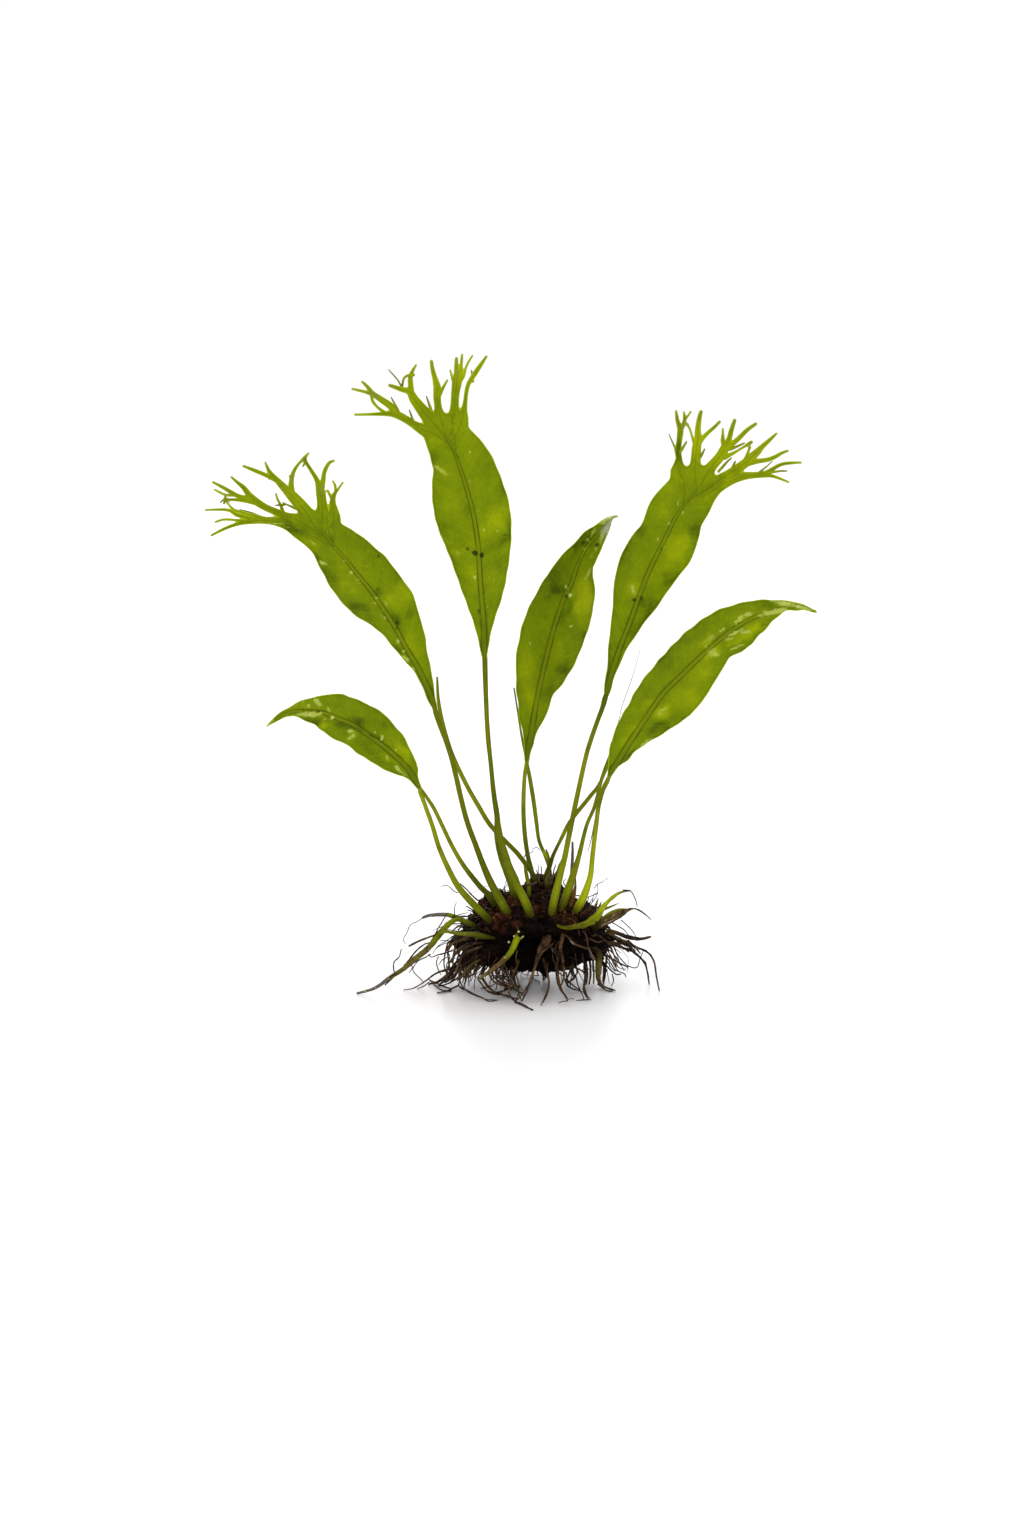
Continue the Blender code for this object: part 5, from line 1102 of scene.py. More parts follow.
stemRoutes = {
    "bare_stalk_left_long": [(-288, 862, 56, 30), (-284, 794, 58, 50), (-268, 716, 60, 58),
        (-244, 641, 62, 62), (-204, 557, 62, 64), (-172, 501, 62, 66), (-137, 445, 60, 66),
        (-83, 389, 58, 66), (-57, 361, 56, 68), (-17, 305, 54, 72), (-8, 270, 52, 72)],
    "bare_stalk_middle_back": [(-152, 1030, 34, 35), (-152, 900, 30, 55), (-149, 760, 24, 60),
        (-138, 620, 16, 62), (-128, 530, 10, 66), (-120, 473, 6, 80), (-118, 417, 2, 105),
        (-106, 361, -4, 120), (-87, 305, -10, 115), (-77, 272, -15, 110), (-70, 226, -22, 100)],
    "bare_stalk_left_low": [(-370, 606, -136, 30), (-344, 564, -130, 42), (-301, 501, -120, 54),
        (-273, 445, -110, 58), (-246, 389, -98, 60), (-213, 333, -86, 66), (-169, 277, -70, 78),
        (-146, 254, -60, 84), (-120, 214, -46, 84)],
    "hair_tipped_stalk": [(-73, 832, 220, 22), (-64, 776, 214, 26), (-52, 700, 204, 32),
        (-40, 640, 194, 42), (-28, 577, 182, 60), (-18, 515, 166, 62), (-10, 456, 152, 58),
        (-3, 406, 138, 52), (14, 364, 122, 56), (25, 333, 112, 60), (30, 286, 100, 60)],
    "bare_stalk_right_front": [(204, 666, -128, 30), (175, 585, -116, 50), (153, 501, -100, 52),
        (130, 445, -88, 54), (109, 361, -72, 70), (92, 305, -70, 100), (81, 272, -76, 115),
        (66, 229, -94, 110), (57, 198, -110, 90), (53, 178, -106, 70)],
    "bare_stalk_right_back": [(210, 660, -60, 30), (168, 566, -42, 50), (141, 529, -30, 58),
        (98, 476, -8, 60), (77, 445, 8, 60), (63, 417, 22, 56), (49, 389, 36, 50), (36, 361, 46, 56),
        (27, 333, 52, 70), (17, 306, 54, 74), (14, 274, 54, 74)],
    "dead_stalk_stub": [(91, 400, 2, 30), (91, 360, 4, 42), (89, 310, 6, 50), (85, 204, 12, 50)],
    "leafy_bud": [(62, 350, 2, 30), (58, 334, 2, 70), (54, 312, 2, 90), (50, 276, 1, 80),
        (47, 210, -3, 80)],
    "pale_bud": [(-44, 336, -26, 25), (-39, 316, -24, 50), (-34, 290, -22, 56), (-30, 250, -20, 56),
        (-28, 216, -18, 56)],
    "runner_left_short": [(-329, 188, -156, 36), (-314, 194, -152, 46), (-288, 197, -144, 55),
        (-256, 196, -136, 62), (-228, 186, -124, 72), (-202, 175, -112, 74), (-172, 159, -94, 75),
        (-146, 146, -70, 75)],
    "runner_left_long": [(-512, -23, -130, 34), (-473, -13, -146, 40), (-448, 0, -164, 50),
        (-426, 17, -178, 55), (-387, 42, -204, 64), (-350, 73, -208, 78), (-314, 102, -204, 82),
        (-282, 142, -194, 90), (-253, 173, -168, 76), (-230, 183, -136, 60), (-196, 170, -96, 50),
        (-154, 152, -60, 50)],
    "runner_left_side": [(-286, 140, -204, 30), (-267, 150, -206, 42), (-248, 147, -208, 48),
        (-226, 144, -206, 50), (-204, 143, -200, 62), (-182, 141, -190, 76), (-162, 137, -178, 80),
        (-139, 133, -164, 56), (-116, 131, -150, 30), (-94, 129, -134, 12)],
    "runner_front": [(-170, 19, -260, 35), (-143, 36, -254, 55), (-120, 53, -246, 65), (-95, 76, -236, 72),
        (-78, 99, -226, 78), (-66, 126, -208, 90), (-54, 152, -176, 95), (-46, 162, -134, 95)],
    "runner_right": [(253, 264, -96, 20), (235, 262, -97, 28), (216, 255, -100, 44), (196, 239, -106, 54),
        (182, 225, -112, 66), (172, 211, -122, 84), (161, 194, -134, 100), (149, 183, -144, 114),
        (135, 174, -154, 92), (122, 168, -162, 90), (98, 164, -176, 70), (78, 160, -185, 56),
        (62, 161, -190, 48), (48, 166, -180, 36)],
    "dead_leaf_base": [(311, 184, -126, 10), (284, 207, -126, 16), (265, 214, -126, 22),
        (249, 211, -126, 50), (226, 200, -126, 120), (198, 187, -126, 160), (170, 174, -124, 165),
        (148, 163, -106, 140), (129, 151, -90, 100)],
    "olive_strand": [(206, -12, -62, 12), (182, -5, -68, 20), (166, 9, -98, 55), (162, 34, -124, 78),
        (165, 62, -140, 80), (162, 94, -126, 80), (124, 112, -70, 80)],
}

stemShape = {"step": 0.8, "sides": 14, "lumps": 0.012}
# Tones run from each stem's tip to its buried end.
stemLooks = {
    "bare_stalk_left_long": {"fresh": (0.5, 0.4, 0.4, 0.42, 0.55, 0.42, 0.5, 0.2, 0.15)},
    "bare_stalk_middle_back": {"fresh": (0.04, 0.1, 0.2, 0.15, 0.06, 0.1, 0.2, 0.1)},
    "bare_stalk_left_low": {"fresh": (0.5, 0.5, 0.55, 0.5, 0.55, 0.3, 0.08, 0.05)},
    "hair_tipped_stalk": {"fresh": (0.9, 0.7, 0.6, 0.33, 0.35, 0.36, 0.45, 0.3, 0.35, 0.1),
                          "greyed": (0.9, 0.5, 0.1, 0, 0, 0, 0, 0, 0)},
    "bare_stalk_right_front": {"fresh": (0.45, 0.42, 0.2, 0.45, 0.45, 0.5, 0.3)},
    "bare_stalk_right_back": {"fresh": (0.45, 0.4, 0.55, 0.3, 0.35, 0.7, 0.2, 0.05, 0.0)},
    "dead_stalk_stub": {"slot": "dead_stalk", "withered": (0.7, 0.9), "greyed": (0.9, 0.2), "lumps": 0.06},
    "leafy_bud": {"finish": "runner", "fresh": (0.3, 0.1), "withered": (0.3, 0.6), "lumps": 0.06},
    "pale_bud": {"finish": "runner", "fresh": (0.25, 0.45, 0.1), "lumps": 0.04},
    "runner_left_short": {"finish": "runner", "lumps": 0.06, "sides": 16,
                          "fresh": (0.2, 0.25, 0.4, 0.35, 0.25, 0.15, 0.1), "greyed": (1, 0.95, 0.1, 0, 0, 0),
                          "withered": (0.8, 0.5, 0.25, 0.3, 0.4, 0.6, 0.8)},
    "runner_left_long": {"finish": "runner", "lumps": 0.07, "sides": 16,
                         "fresh": (0.1, 0.2, 0.3, 0.35, 0.3, 0.3, 0.35, 0.3, 0.1),
                         "withered": (0.9, 0.6, 0.45, 0.5, 0.6, 0.3, 0.25, 0.4, 0.6),
                         "greyed": (1, 0.9, 0.3, 0.05, 0, 0, 0, 0)},
    "runner_left_side": {"finish": "runner", "lumps": 0.06,
                         "fresh": (0.3, 0.25, 0.12, 0.2, 0.18, 0.0),
                         "withered": (0.2, 0.35, 0.5, 0.4, 0.35, 0.6)},
    "runner_front": {"finish": "runner", "lumps": 0.08, "sides": 16,
                     "fresh": (0.3, 0.25, 0.25, 0.55, 0.9, 0.8, 0.5), "greyed": (0.4, 0.2, 0, 0, 0, 0, 0),
                     "withered": (0.6, 0.6, 0.75, 0.3, 0, 0, 0)},
    "runner_right": {"finish": "runner", "lumps": 0.12, "sides": 16,
                     "fresh": (0.5, 1, 1.1, 1.25, 1.2, 0.8, 0.5), "greyed": (0.9, 0.2, 0, 0, 0, 0, 0),
                     "withered": (0.6, 0, 0, 0.2, 0.1, 0.2, 0.3)},
    "dead_leaf_base": {"slot": "dead_stalk", "finish": "runner", "lumps": 0.05, "flat": 0.3, "sides": 20,
                       "fresh": (0.4, 0.5, 0.3, 0.1), "withered": (0.8, 0.8, 0.85, 0.9),
                       "greyed": (1, 0.2, 0, 0)},
    "olive_strand": {"finish": "runner", "lumps": 0.12,
                     "fresh": (0.1, 0.2, 0.2, 0.15, 0.1), "withered": (0.9, 0.7, 0.65, 0.6, 0.75),
                     "greyed": (0.5, 0.3, 0.1, 0)},
}
for order, (node, route) in enumerate(stemRoutes.items()):
    look = stemLooks[node]
    sides, lumps = (look.get(key, stemShape[key]) for key in ("sides", "lumps"))
    part = stemPart(inMm(route, stemUnits), sides, stemShape["step"], look, lumps=lumps,
                    flat=look.get("flat", 1.0), seed=100 + order)
    skin = look.get("finish", "stalk")
    makePiece(pieceName(node) + "Skin", [part], [finishes[skin]], [node])
print("stems ready:", len(stemRoutes))

core = ballPart(clump["cuts"], 1.0, corePoint)
makePiece("rhizomeCore", [core], [finishes["clump"]], ["rhizome_clump"])
print("rhizome ready")

rootRoutes = {
    "root_left_foot": [(-382, -14, -81, 12), (-354, -9, -96, 17), (-324, 9, -138, 20), (-288, 34, -136, 28),
        (-240, 50, -116, 40), (-160, 94, -64, 40)],
    "root_left_dark": [(-312, 2, -5, 25), (-280, 12, -28, 40), (-244, 40, -74, 50), (-204, 62, -64, 50),
        (-150, 94, -30, 50)],
    "root_front_left": [(-62, -40, -206, 22), (-94, -30, -182, 26), (-128, -19, -214, 30),
        (-152, 4, -184, 34), (-162, 38, -156, 40), (-126, 106, -94, 40)],
    "root_far_left": [(-122, -42, -214, 10), (-160, -37, -196, 12), (-206, -16, -204, 17),
        (-226, 18, -170, 25), (-216, 52, -136, 36), (-150, 110, -84, 36)],
    "root_front_middle": [(-50, -44, -224, 22), (-38, -19, -222, 26), (-28, 11, -268, 30),
        (-17, 42, -250, 34), (-2, 78, -224, 38), (22, 126, -140, 40)],
    "root_front_long": [(-20, -70, -346, 20), (-64, -49, -256, 24), (-86, -24, -280, 28),
        (-80, 16, -236, 30), (-66, 50, -188, 34), (-48, 108, -116, 34)],
    "root_front_curl": [(8, -48, -243, 22), (20, -24, -236, 26), (25, 4, -256, 30), (20, 36, -220, 34),
        (0, 100, -146, 34)],
    "root_front_right": [(76, -37, -191, 22), (60, -12, -190, 26), (52, 20, -208, 30), (50, 54, -162, 34),
        (46, 98, -120, 34)],
    "root_right_foot": [(132, -32, -168, 22), (124, -6, -172, 26), (126, 24, -180, 30), (126, 54, -142, 34),
        (108, 104, -100, 34)],
    "root_right_short": [(176, 10, 28, 30), (179, 36, 10, 40), (174, 66, -6, 45), (124, 114, -20, 45)],
    "root_right_long": [(334, -16, -91, 22), (326, 24, -120, 26), (319, 66, -142, 28), (302, 91, -134, 30),
        (276, 103, -122, 32), (240, 114, -104, 36), (190, 120, -74, 40), (146, 122, -50, 40)],
    "root_right_inner": [(306, 2, -4, 22), (296, 54, -20, 26), (274, 84, -34, 30), (244, 100, -38, 34),
        (196, 114, -32, 38), (154, 118, -22, 38)],
    "root_right_pointed": [(310, 135, -86, 30), (279, 129, -82, 50), (244, 135, -76, 60),
        (196, 152, -60, 60), (156, 156, -40, 60)],
    "root_back_left": [(-240, 52, 248, 22), (-224, 62, 220, 28), (-194, 86, 186, 34), (-146, 104, 136, 38),
        (-110, 108, 100, 38)],
    "root_back_middle": [(-10, 62, 298, 22), (-18, 74, 260, 28), (-24, 98, 214, 34), (-26, 114, 168, 38),
        (-26, 134, 100, 38)],
    "root_back_right": [(246, 50, 236, 22), (214, 66, 208, 28), (170, 92, 172, 34), (122, 114, 126, 38),
        (94, 118, 96, 38)],
}

rootShape = {"step": 0.7, "sides": 9, "lumps": 0.09}
for order, (node, route) in enumerate(rootRoutes.items()):
    line = smoothLine(inMm(route, stemUnits), rootShape["step"])
    part = tubePart(place(line), line[:, 3], rootShape["sides"], lumps=rootShape["lumps"], seed=200 + order)
    makePiece(pieceName(node) + "Skin", [shaded(part, 0.25 + 0.6 * (order * 0.37 % 1))],
              [finishes["root"]], [node])
print("roots ready:", len(rootRoutes))

rootNet = {"left bunch": [
    (-20, -20, 35, -367, 109, -347, 119, -322, 130, -297, 139, -291, 146),
    (-20, -17, 19, -294, 140, -286, 157, -267, 189, -259, 202),
    (-20.5, -20, 29, -381, 53, -367, 69, -347, 95, -322, 115, -308, 118),
    (-20.8, -17, 24, -423, 21, -400, 34, -378, 48, -350, 64, -322, 77, -305, 87),
    (-20, "floor", 17, -342, 67, -356, 42, -328, 10),
    (-20.5, -22, 15, -364, 62, -357, 49, -367, 34),
    (-8, "floor", 23, -246, -11, -269, -4, -291, 6, -311, 15),
    (-9, "floor", 23, -249, -17, -274, -14, -291, -3, -308, 13),
    ("clump", "floor", 31, -227, 0, -246, -10, -266, -18, -288, -22),
    (-10, "floor", 18, -311, 8, -325, -3, -344, -11),
    ("clump", -12, 45, -218, 64, -232, 50, -252, 28, -269, 11, -280, 3),
    (-14, -14, 19, -284, 80, -290, 64, -286, 46, -277, 28),
    ("clump", -18, 20, -246, 95, -266, 90, -286, 84, -305, 78, -312, 87),
    (-14, -12, 17, -260, 78, -274, 70, -284, 56),
    ("clump", -6, 26, -241, 132, -258, 116, -265, 90, -269, 59, -260, 25),
    ("clump", -7, 31, -232, 134, -249, 120, -258, 92, -255, 62, -251, 25),
    ("clump", -8, 26, -227, 126, -239, 98, -245, 70, -242, 48, -249, 22),
    ("clump", -9, 27, -218, 115, -228, 84, -238, 53, -246, 22),
    ("clump", -10, 26, -207, 115, -220, 81, -228, 50, -241, 17),
    ("clump", -6, 18, -252, 118, -260, 98, -252, 78, -262, 53, -255, 28),
    ("clump", -12, 18, -227, 126, -237, 134, -248, 129, -255, 118),
    ("clump", -14, 17, -246, 123, -263, 124, -280, 126),
    ("clump", -16, 30, -207, 168, -227, 165, -238, 158, -245, 151),
    ("clump", -16, 24, -196, 162, -216, 164, -230, 155),
    (-14, -13, 15, -238, 190, -240, 213, -234, 232),
    (-14, -14, 15, -239, 193, -221, 198, -202, 203),
    ("clump", -12, 21, -179, 203, -193, 213, -207, 221),
    ("clump", -12, 18, -176, 199, -190, 206, -203, 210),
    ("clump", -10, 24, -174, 237, -190, 251, -207, 269, -223, 284),
    ("clump", -14, 27, -168, 195, -196, 192, -224, 192, -246, 190),
    ("clump", -14, 18, -168, 192, -185, 188, -196, 188),
    (-12, -10, 15, -230, 258, -242, 263, -252, 274, -263, 279, -276, 276),
    (-21, -22, 13, -328, 188, -344, 178, -363, 168, -372, 148, -383, 126, -375, 116),
    (-17, -20, 21, -434, 0, -409, 25, -410, 45, -409, 64, -395, 78, -388, 101),
    ("clump", "floor", 24, -185, 76, -202, 50, -221, 22, -227, -3, -213, -13),
    ("clump", -14, 28, -174, 90, -186, 59, -202, 41, -214, 17),
    ("clump", "floor", 26, -157, 78, -176, 53, -196, 43, -211, 25, -217, 6),
    ("clump", -18, 23, -148, 67, -167, 49, -182, 36, -200, 20),
    ("clump", -20, 24, -140, 62, -153, 43, -167, 34, -176, 15),
    ("clump", -16, 44, -151, 132, -190, 130, -224, 125, -245, 115, -259, 95),
    ("clump", -16, 46, -151, 120, -188, 116, -218, 106, -238, 87, -246, 62),
    ("clump", -15, 46, -157, 109, -188, 99, -213, 84, -227, 62, -235, 36),
    ("clump", -18, 33, -162, 132, -196, 136, -221, 136, -241, 127),
    ("clump", -14, 44, -154, 92, -179, 78, -204, 62, -227, 42, -246, 21, -266, 7),
    ("clump", -16, 41, -146, 81, -171, 69, -193, 56, -210, 36, -224, 17),
    ("clump", -12, 41, -168, 104, -196, 90, -224, 73, -244, 53, -253, 31),
    ("clump", -11, 34, -179, 115, -210, 104, -232, 90, -249, 70, -258, 48, -263, 22),
    ("clump", -16, 35, -134, 76, -157, 62, -179, 53, -196, 39, -204, 22),
    ("clump", -10, 33, -216, 98, -204, 73, -216, 48, -207, 25),
    ("clump", -10, 29, -235, 95, -221, 73, -227, 48, -241, 28, -260, 14),
    ("clump", "floor", 29, -196, 64, -210, 39, -235, 17, -260, 3, -286, -3),
    ("clump", "floor", 30, -221, 76, -228, 53, -235, 28, -251, 8),
    ("clump", -8, 30, -202, 98, -213, 70, -221, 39, -231, 11),
    ("clump", "floor", 19, -223, -4, -207, -13, -185, -25, -160, -36, -143, -45, -118, -42),
    (-24, "floor", 24, -172, 15, -162, 0, -148, -17, -129, -25, -101, -29, -81, -32),
], "under the middle": [
    ("clump", "floor", 33, -78, 95, -81, 70, -83, 42, -81, 20, -73, -8),
    ("clump", -24, 30, -123, 64, -137, 45, -141, 28, -126, 8, -101, -4),
    ("clump", -24, 26, -109, 67, -123, 48, -122, 29, -104, 11, -78, 0),
    ("clump", -25, 24, -95, 64, -106, 45, -101, 22, -84, 7, -67, -3),
    ("clump", -24, 26, -87, 53, -95, 34, -85, 14, -69, -4),
    (-24, "floor", 26, -151, -15, -129, -22, -104, -17, -81, -8, -56, -1),
    (-26, "floor", 25, -76, 3, -64, -11, -59, -25, -52, -45),
    (-26, "floor", 24, -29, 6, -42, -14, -56, -32, -69, -46, -70, -50),
    (-30, "floor", 21, -70, -50, -59, -49, -45, -55, -28, -66),
    (-26, "floor", 19, -46, -22, -36, -6, -25, 11, -20, 25),
    ("clump", "floor", 21, -104, 70, -92, 39, -73, 11, -59, -14, -64, -36),
    ("clump", -25, 28, 45, 129, 32, 111, 18, 101, 3, 88, -11, 66),
    ("clump", -25, 24, 55, 129, 45, 109, 43, 90, 49, 70, 43, 45),
    ("clump", -25, 20, 22, 123, 35, 105, 50, 90, 53, 67),
    ("clump", "floor", 26, 42, 64, 45, 36, 48, 13, 57, -13, 69, -28, 77, -44),
    (-29, "floor", 17, 77, -45, 66, -46, 52, -50),
    (-29, "floor", 12, 76, -42, 87, -38, 95, -39),
    ("clump", "floor", 24, 20, 70, 21, 31, 25, 0, 17, -25, 3, -57),
    ("clump", -22, 26, 36, 76, 46, 48, 49, 22, 56, -3),
    ("clump", -22, 37, 56, 92, 62, 67, 67, 42, 66, 17, 59, -1),
    ("clump", -16, 26, 50, 62, 67, 45, 81, 51, 92, 53),
    ("clump", -14, 29, 81, 62, 95, 50, 112, 43, 125, 32, 127, 8),
    ("clump", -16, 28, 87, 62, 83, 36, 74, 14, 80, -4, 98, -14),
    ("clump", -15, 29, 98, 62, 104, 36, 91, 17, 77, 6),
    ("clump", -15, 24, 92, 53, 87, 34, 97, 20, 81, 8),
    ("clump", "floor", 23, 73, 36, 77, 14, 92, 0, 111, -14),
    ("clump", "floor", 19, 67, 42, 69, 17, 77, -3, 92, -10, 112, -17, 122, -20),
    ("clump", "floor", 29, 123, 53, 127, 28, 123, 0, 123, -20, 136, -41),
    (-24, "floor", 18, 137, -41, 120, -42, 101, -43),
    (-22, "floor", 18, 119, -10, 129, -25, 143, -42),
    (-22, -20, 19, -70, 196, -69, 176, -60, 153),
], "right bunch": [
    ("clump", "floor", 29, 147, 84, 150, 56, 151, 25, 150, 3),
    ("clump", "floor", 39, 137, 84, 141, 53, 141, 22, 137, 3),
    ("clump", "floor", 34, 127, 70, 132, 45, 132, 20, 129, 1),
    ("clump", -10, 34, 157, 90, 158, 56, 160, 22),
    ("clump", "floor", 27, 168, 0, 185, -7, 199, -13, 211, -15),
    ("clump", "floor", 25, 162, 3, 176, -8, 190, -16, 203, -18),
    ("clump", "floor", 36, 186, 78, 184, 53, 182, 28, 178, 3),
    ("clump", "floor", 18, 202, 31, 206, 11, 199, -4),
    ("clump", -2, 19, 185, 104, 199, 80, 209, 60, 216, 43, 223, 36),
    ("clump", -3, 19, 185, 92, 200, 71, 210, 52, 220, 38),
    ("clump", -2, 20, 182, 84, 199, 60, 211, 42, 227, 36, 238, 30, 241, 22),
    ("clump", -4, 19, 185, 70, 199, 49, 211, 38),
    ("clump", -2, 26, 179, 62, 196, 44, 207, 34, 216, 29, 227, 31),
    ("clump", -1, 18, 188, 115, 202, 95, 213, 73, 217, 53, 230, 45, 238, 43),
    ("clump", -6, 19, 193, 126, 206, 108, 216, 88, 230, 69, 246, 54, 265, 48, 274, 52, 279, 70, 287, 90,
        290, 98),
    ("clump", -6, 26, 224, 132, 245, 111, 262, 91, 283, 74, 295, 63, 300, 42, 305, 21),
    (-12, -12, 30, 246, 125, 263, 109, 274, 97, 281, 88),
    ("clump", -8, 46, 182, 137, 204, 122, 224, 109, 239, 101, 248, 93),
    ("clump", -9, 40, 188, 143, 213, 127, 238, 115, 255, 105, 266, 94),
    ("clump", -10, 37, 185, 151, 204, 140, 230, 126, 252, 116, 272, 106),
    ("clump", -10, 29, 182, 123, 202, 113, 218, 111, 235, 99),
    (-12, -9, 19, 204, 174, 221, 164, 237, 153, 248, 139),
    (-12, -9, 16, 227, 182, 249, 162, 260, 150, 269, 134),
    ("clump", -22, 22, 112, 155, 125, 147, 132, 129, 134, 109, 141, 91, 148, 77, 153, 71),
    ("clump", -22, 29, 67, 146, 87, 127, 104, 112, 132, 102),
    ("clump", -22, 30, 126, 106, 148, 102, 171, 95, 188, 98),
    ("clump", -20, 27, 115, 120, 137, 129, 160, 120, 185, 126),
    ("clump", -20, 27, 140, 137, 160, 139, 176, 130, 193, 112),
    ("clump", -20, 23, 120, 95, 119, 76, 123, 56),
    (-10, -10, 18, 232, 266, 244, 266, 252, 265, 260, 255, 269, 235, 272, 220),
    (-12.8, -13, 19, 249, 215, 266, 213, 280, 207, 297, 195, 311, 183),
    ("clump", -6, 14, 134, 216, 146, 232, 150, 252, 160, 258),
    ("clump", -5, 12, 140, 224, 157, 246, 162, 266, 161, 281),
    (-5, -4, 12, 151, 270, 161, 283, 174, 288, 189, 299),
    (-6, -5, 12, 134, 246, 147, 251, 162, 256),
    ("clump", -8, 18, 123, 213, 132, 230, 136, 246),
    ("clump", -8, 15, 132, 210, 139, 228, 146, 242),
], "between the stalks": [
    ("clump", -2, 20, -53, 269, -60, 294, -70, 316, -80, 339),
    (1, 1, 14, -11, 300, -4, 319, -6, 339),
    (1, 1, 19, 0, 297, 4, 316, 3, 333),
    ("clump", 0, 20, -1, 286, -4, 305, -10, 322),
    (2, 3, 12, -31, 368, -24, 371, -18, 375, -22, 379, -15, 384, -6, 384, 0, 379),
    (2, 2, 18, -35, 375, -41, 364, -45, 357),
    ("clump", 0, 23, 31, 283, 36, 305, 39, 322, 44, 337),
    ("clump", -1, 39, 25, 294, 34, 302, 43, 311, 49, 321),
    ("clump", -2, 17, 73, 274, 66, 286, 67, 293, 73, 295),
    ("clump", -4, 16, -120, 266, -127, 276, -132, 286),
    ("clump", -3, 26, -42, 272, -34, 280, -20, 283, -8, 288),
], "front fan": [
    (-19, "floor", 30, -112, 42, -123, 22, -110, 4, -92, -6),
    (-19, "floor", 28, -136, 34, -124, 18, -108, 6, -86, -3, -66, -16),
    (-18, "floor", 31, -98, 40, -104, 20, -102, 2, -80, -14),
    ("clump", "floor", 36, -82, 80, -80, 45, -74, 26, -69, 3, -62, -19),
    (-19, "floor", 20, -118, 10, -138, -3, -166, -10),
    (-22, "floor", 30, -100, -12, -80, -9, -60, -18, -44, -30),
    (-19, "floor", 29, -106, 46, -90, 24, -84, 4, -58, -6),
    (-19, "floor", 23, -126, 44, -114, 26, -102, 10),
]}


netShape = {
    "step": 0.6,
    "sides": 7,
    "lumps": 0.12,
    # thickness at the start, how much of it is lost, and the least half thickness in mm
    "thickness": 0.94,
    "taper": 0.3,
    "thinnest": 0.1,
    # depth in mm inside the clump's front, or beside the clump
    "buried": 1.2,
    "besideDepth": -4.0,
    # share of the half thickness that stands out of the clump, and gap over the floor
    "proud": 0.7,
    "lift": 0.08,
    "sway": 0.25,
    "swayLength": 3.0,
}


def netStrand(start, end, half, rows, shade, seed):
    # root that leaves the clump, lies over it where they meet and comes down on the floor
    line = smoothLine(rows, netShape["step"])
    run = np.linspace(0, 1, len(line))
    halves = half * (netShape["thickness"] - netShape["taper"] * run ** 3)
    fronts = np.array([clumpDepth(across, up) for across, up in line])
    first = min(fronts[0] + netShape["buried"], netShape["besideDepth"]) if start == "clump" else start
    lowest = floorDepth(line[:, 1], halves + netShape["lift"])
    last = lowest[-1] if end == "floor" else end
    depth = first + (last - first) * run ** 0.8
    settled = np.clip(run * 4, 0, 1) if start == "clump" else 1.0
    over = fronts - halves * netShape["proud"]
    depth = np.where(fronts < clump["missed"], depth + (np.minimum(depth, over) - depth) * settled, depth)
    sway = ripple(run * len(line) * netShape["step"], 0 * run, seed, netShape["swayLength"])
    depth = np.minimum(depth, lowest) + netShape["sway"] * sway * settled
    points = place(np.column_stack((line, np.minimum(depth, lowest))))
    halves = np.maximum(halves, netShape["thinnest"])
    return shaded(tubePart(points, halves, netShape["sides"], lumps=netShape["lumps"], seed=seed), shade)


netDrift = np.random.default_rng(31)
for order, (zone, strands) in enumerate(rootNet.items()):
    parts = []
    for start, end, half, *places in strands:
        rows = inMm(places, placeUnits)
        seed = 300 + 60 * order + len(parts)
        parts.append(netStrand(start, end, half / 100, rows, netDrift.uniform(0, 1), seed))
    name = "rootNet" + "".join(word.capitalize() for word in zone.split())
    made = makePiece(name, parts, [finishes["rootlet"]])
    print("net", zone, len(parts), "strands", len(made.data.polygons), "faces")


# Matted rootlets: some crawl over the clump, others leave it, droop and lie on the floor.
# Each zone gives how many, the middle and spread of its directions, and the sizes in mm.
tangle = {
    "step": 0.8,
    "sides": 5,
    "lumps": 0.10,
    "taper": (1.0, 0.45),
    "wander": 0.34,
    "steadier": 0.45,
    "pull": (0, 0, 0.10),
    "buried": 0.8,
    "floorGap": 0.05,
    "backLimit": 20.6,
    "crawling": {"many": 190, "length": (5, 17), "half": (0.11, 0.30), "lift": 0.05},
    "zones": [
        {"many": 46, "aim": (-1, -0.15, -0.25), "spread": 0.55, "length": (5, 12), "half": (0.09, 0.26)},
        {"many": 34, "aim": (1, -0.10, -0.30), "spread": 0.55, "length": (4, 10), "half": (0.09, 0.26)},
        {"many": 90, "aim": (0, 1, -0.50), "spread": 0.6, "length": (6, 17), "half": (0.10, 0.32)},
        {"many": 16, "aim": (-0.1, 0.9, -0.9), "spread": 0.45, "length": (7, 14), "half": (0.14, 0.40)},
        {"many": 44, "aim": (-0.85, -0.45, -0.75), "spread": 0.22, "length": (5, 11), "half": (0.12, 0.34)},
    ],
}


def aside(drift, size):
    return Vector(drift.normal(0, size, 3).tolist())


def clumpSeat(point, lift):
    # nearest place over the clump, lift mm off it
    return clumpPoint(clumpRay(point).normalized(), lift)


def crawlingRoot(drift):
    size = tangle["crawling"]
    half = drift.uniform(*size["half"])
    direction = aside(drift, 1).normalized()
    spot = clumpPoint(direction, size["lift"])
    heading = aside(drift, 1).normalized()
    points = [spot]
    for _ in range(int(drift.uniform(*size["length"]) / tangle["step"])):
        heading = (heading + aside(drift, tangle["wander"])).normalized()
        spot = clumpSeat(spot + heading * tangle["step"], size["lift"])
        heading = (spot - points[-1]).normalized()
        points.append(spot)
    return points, half


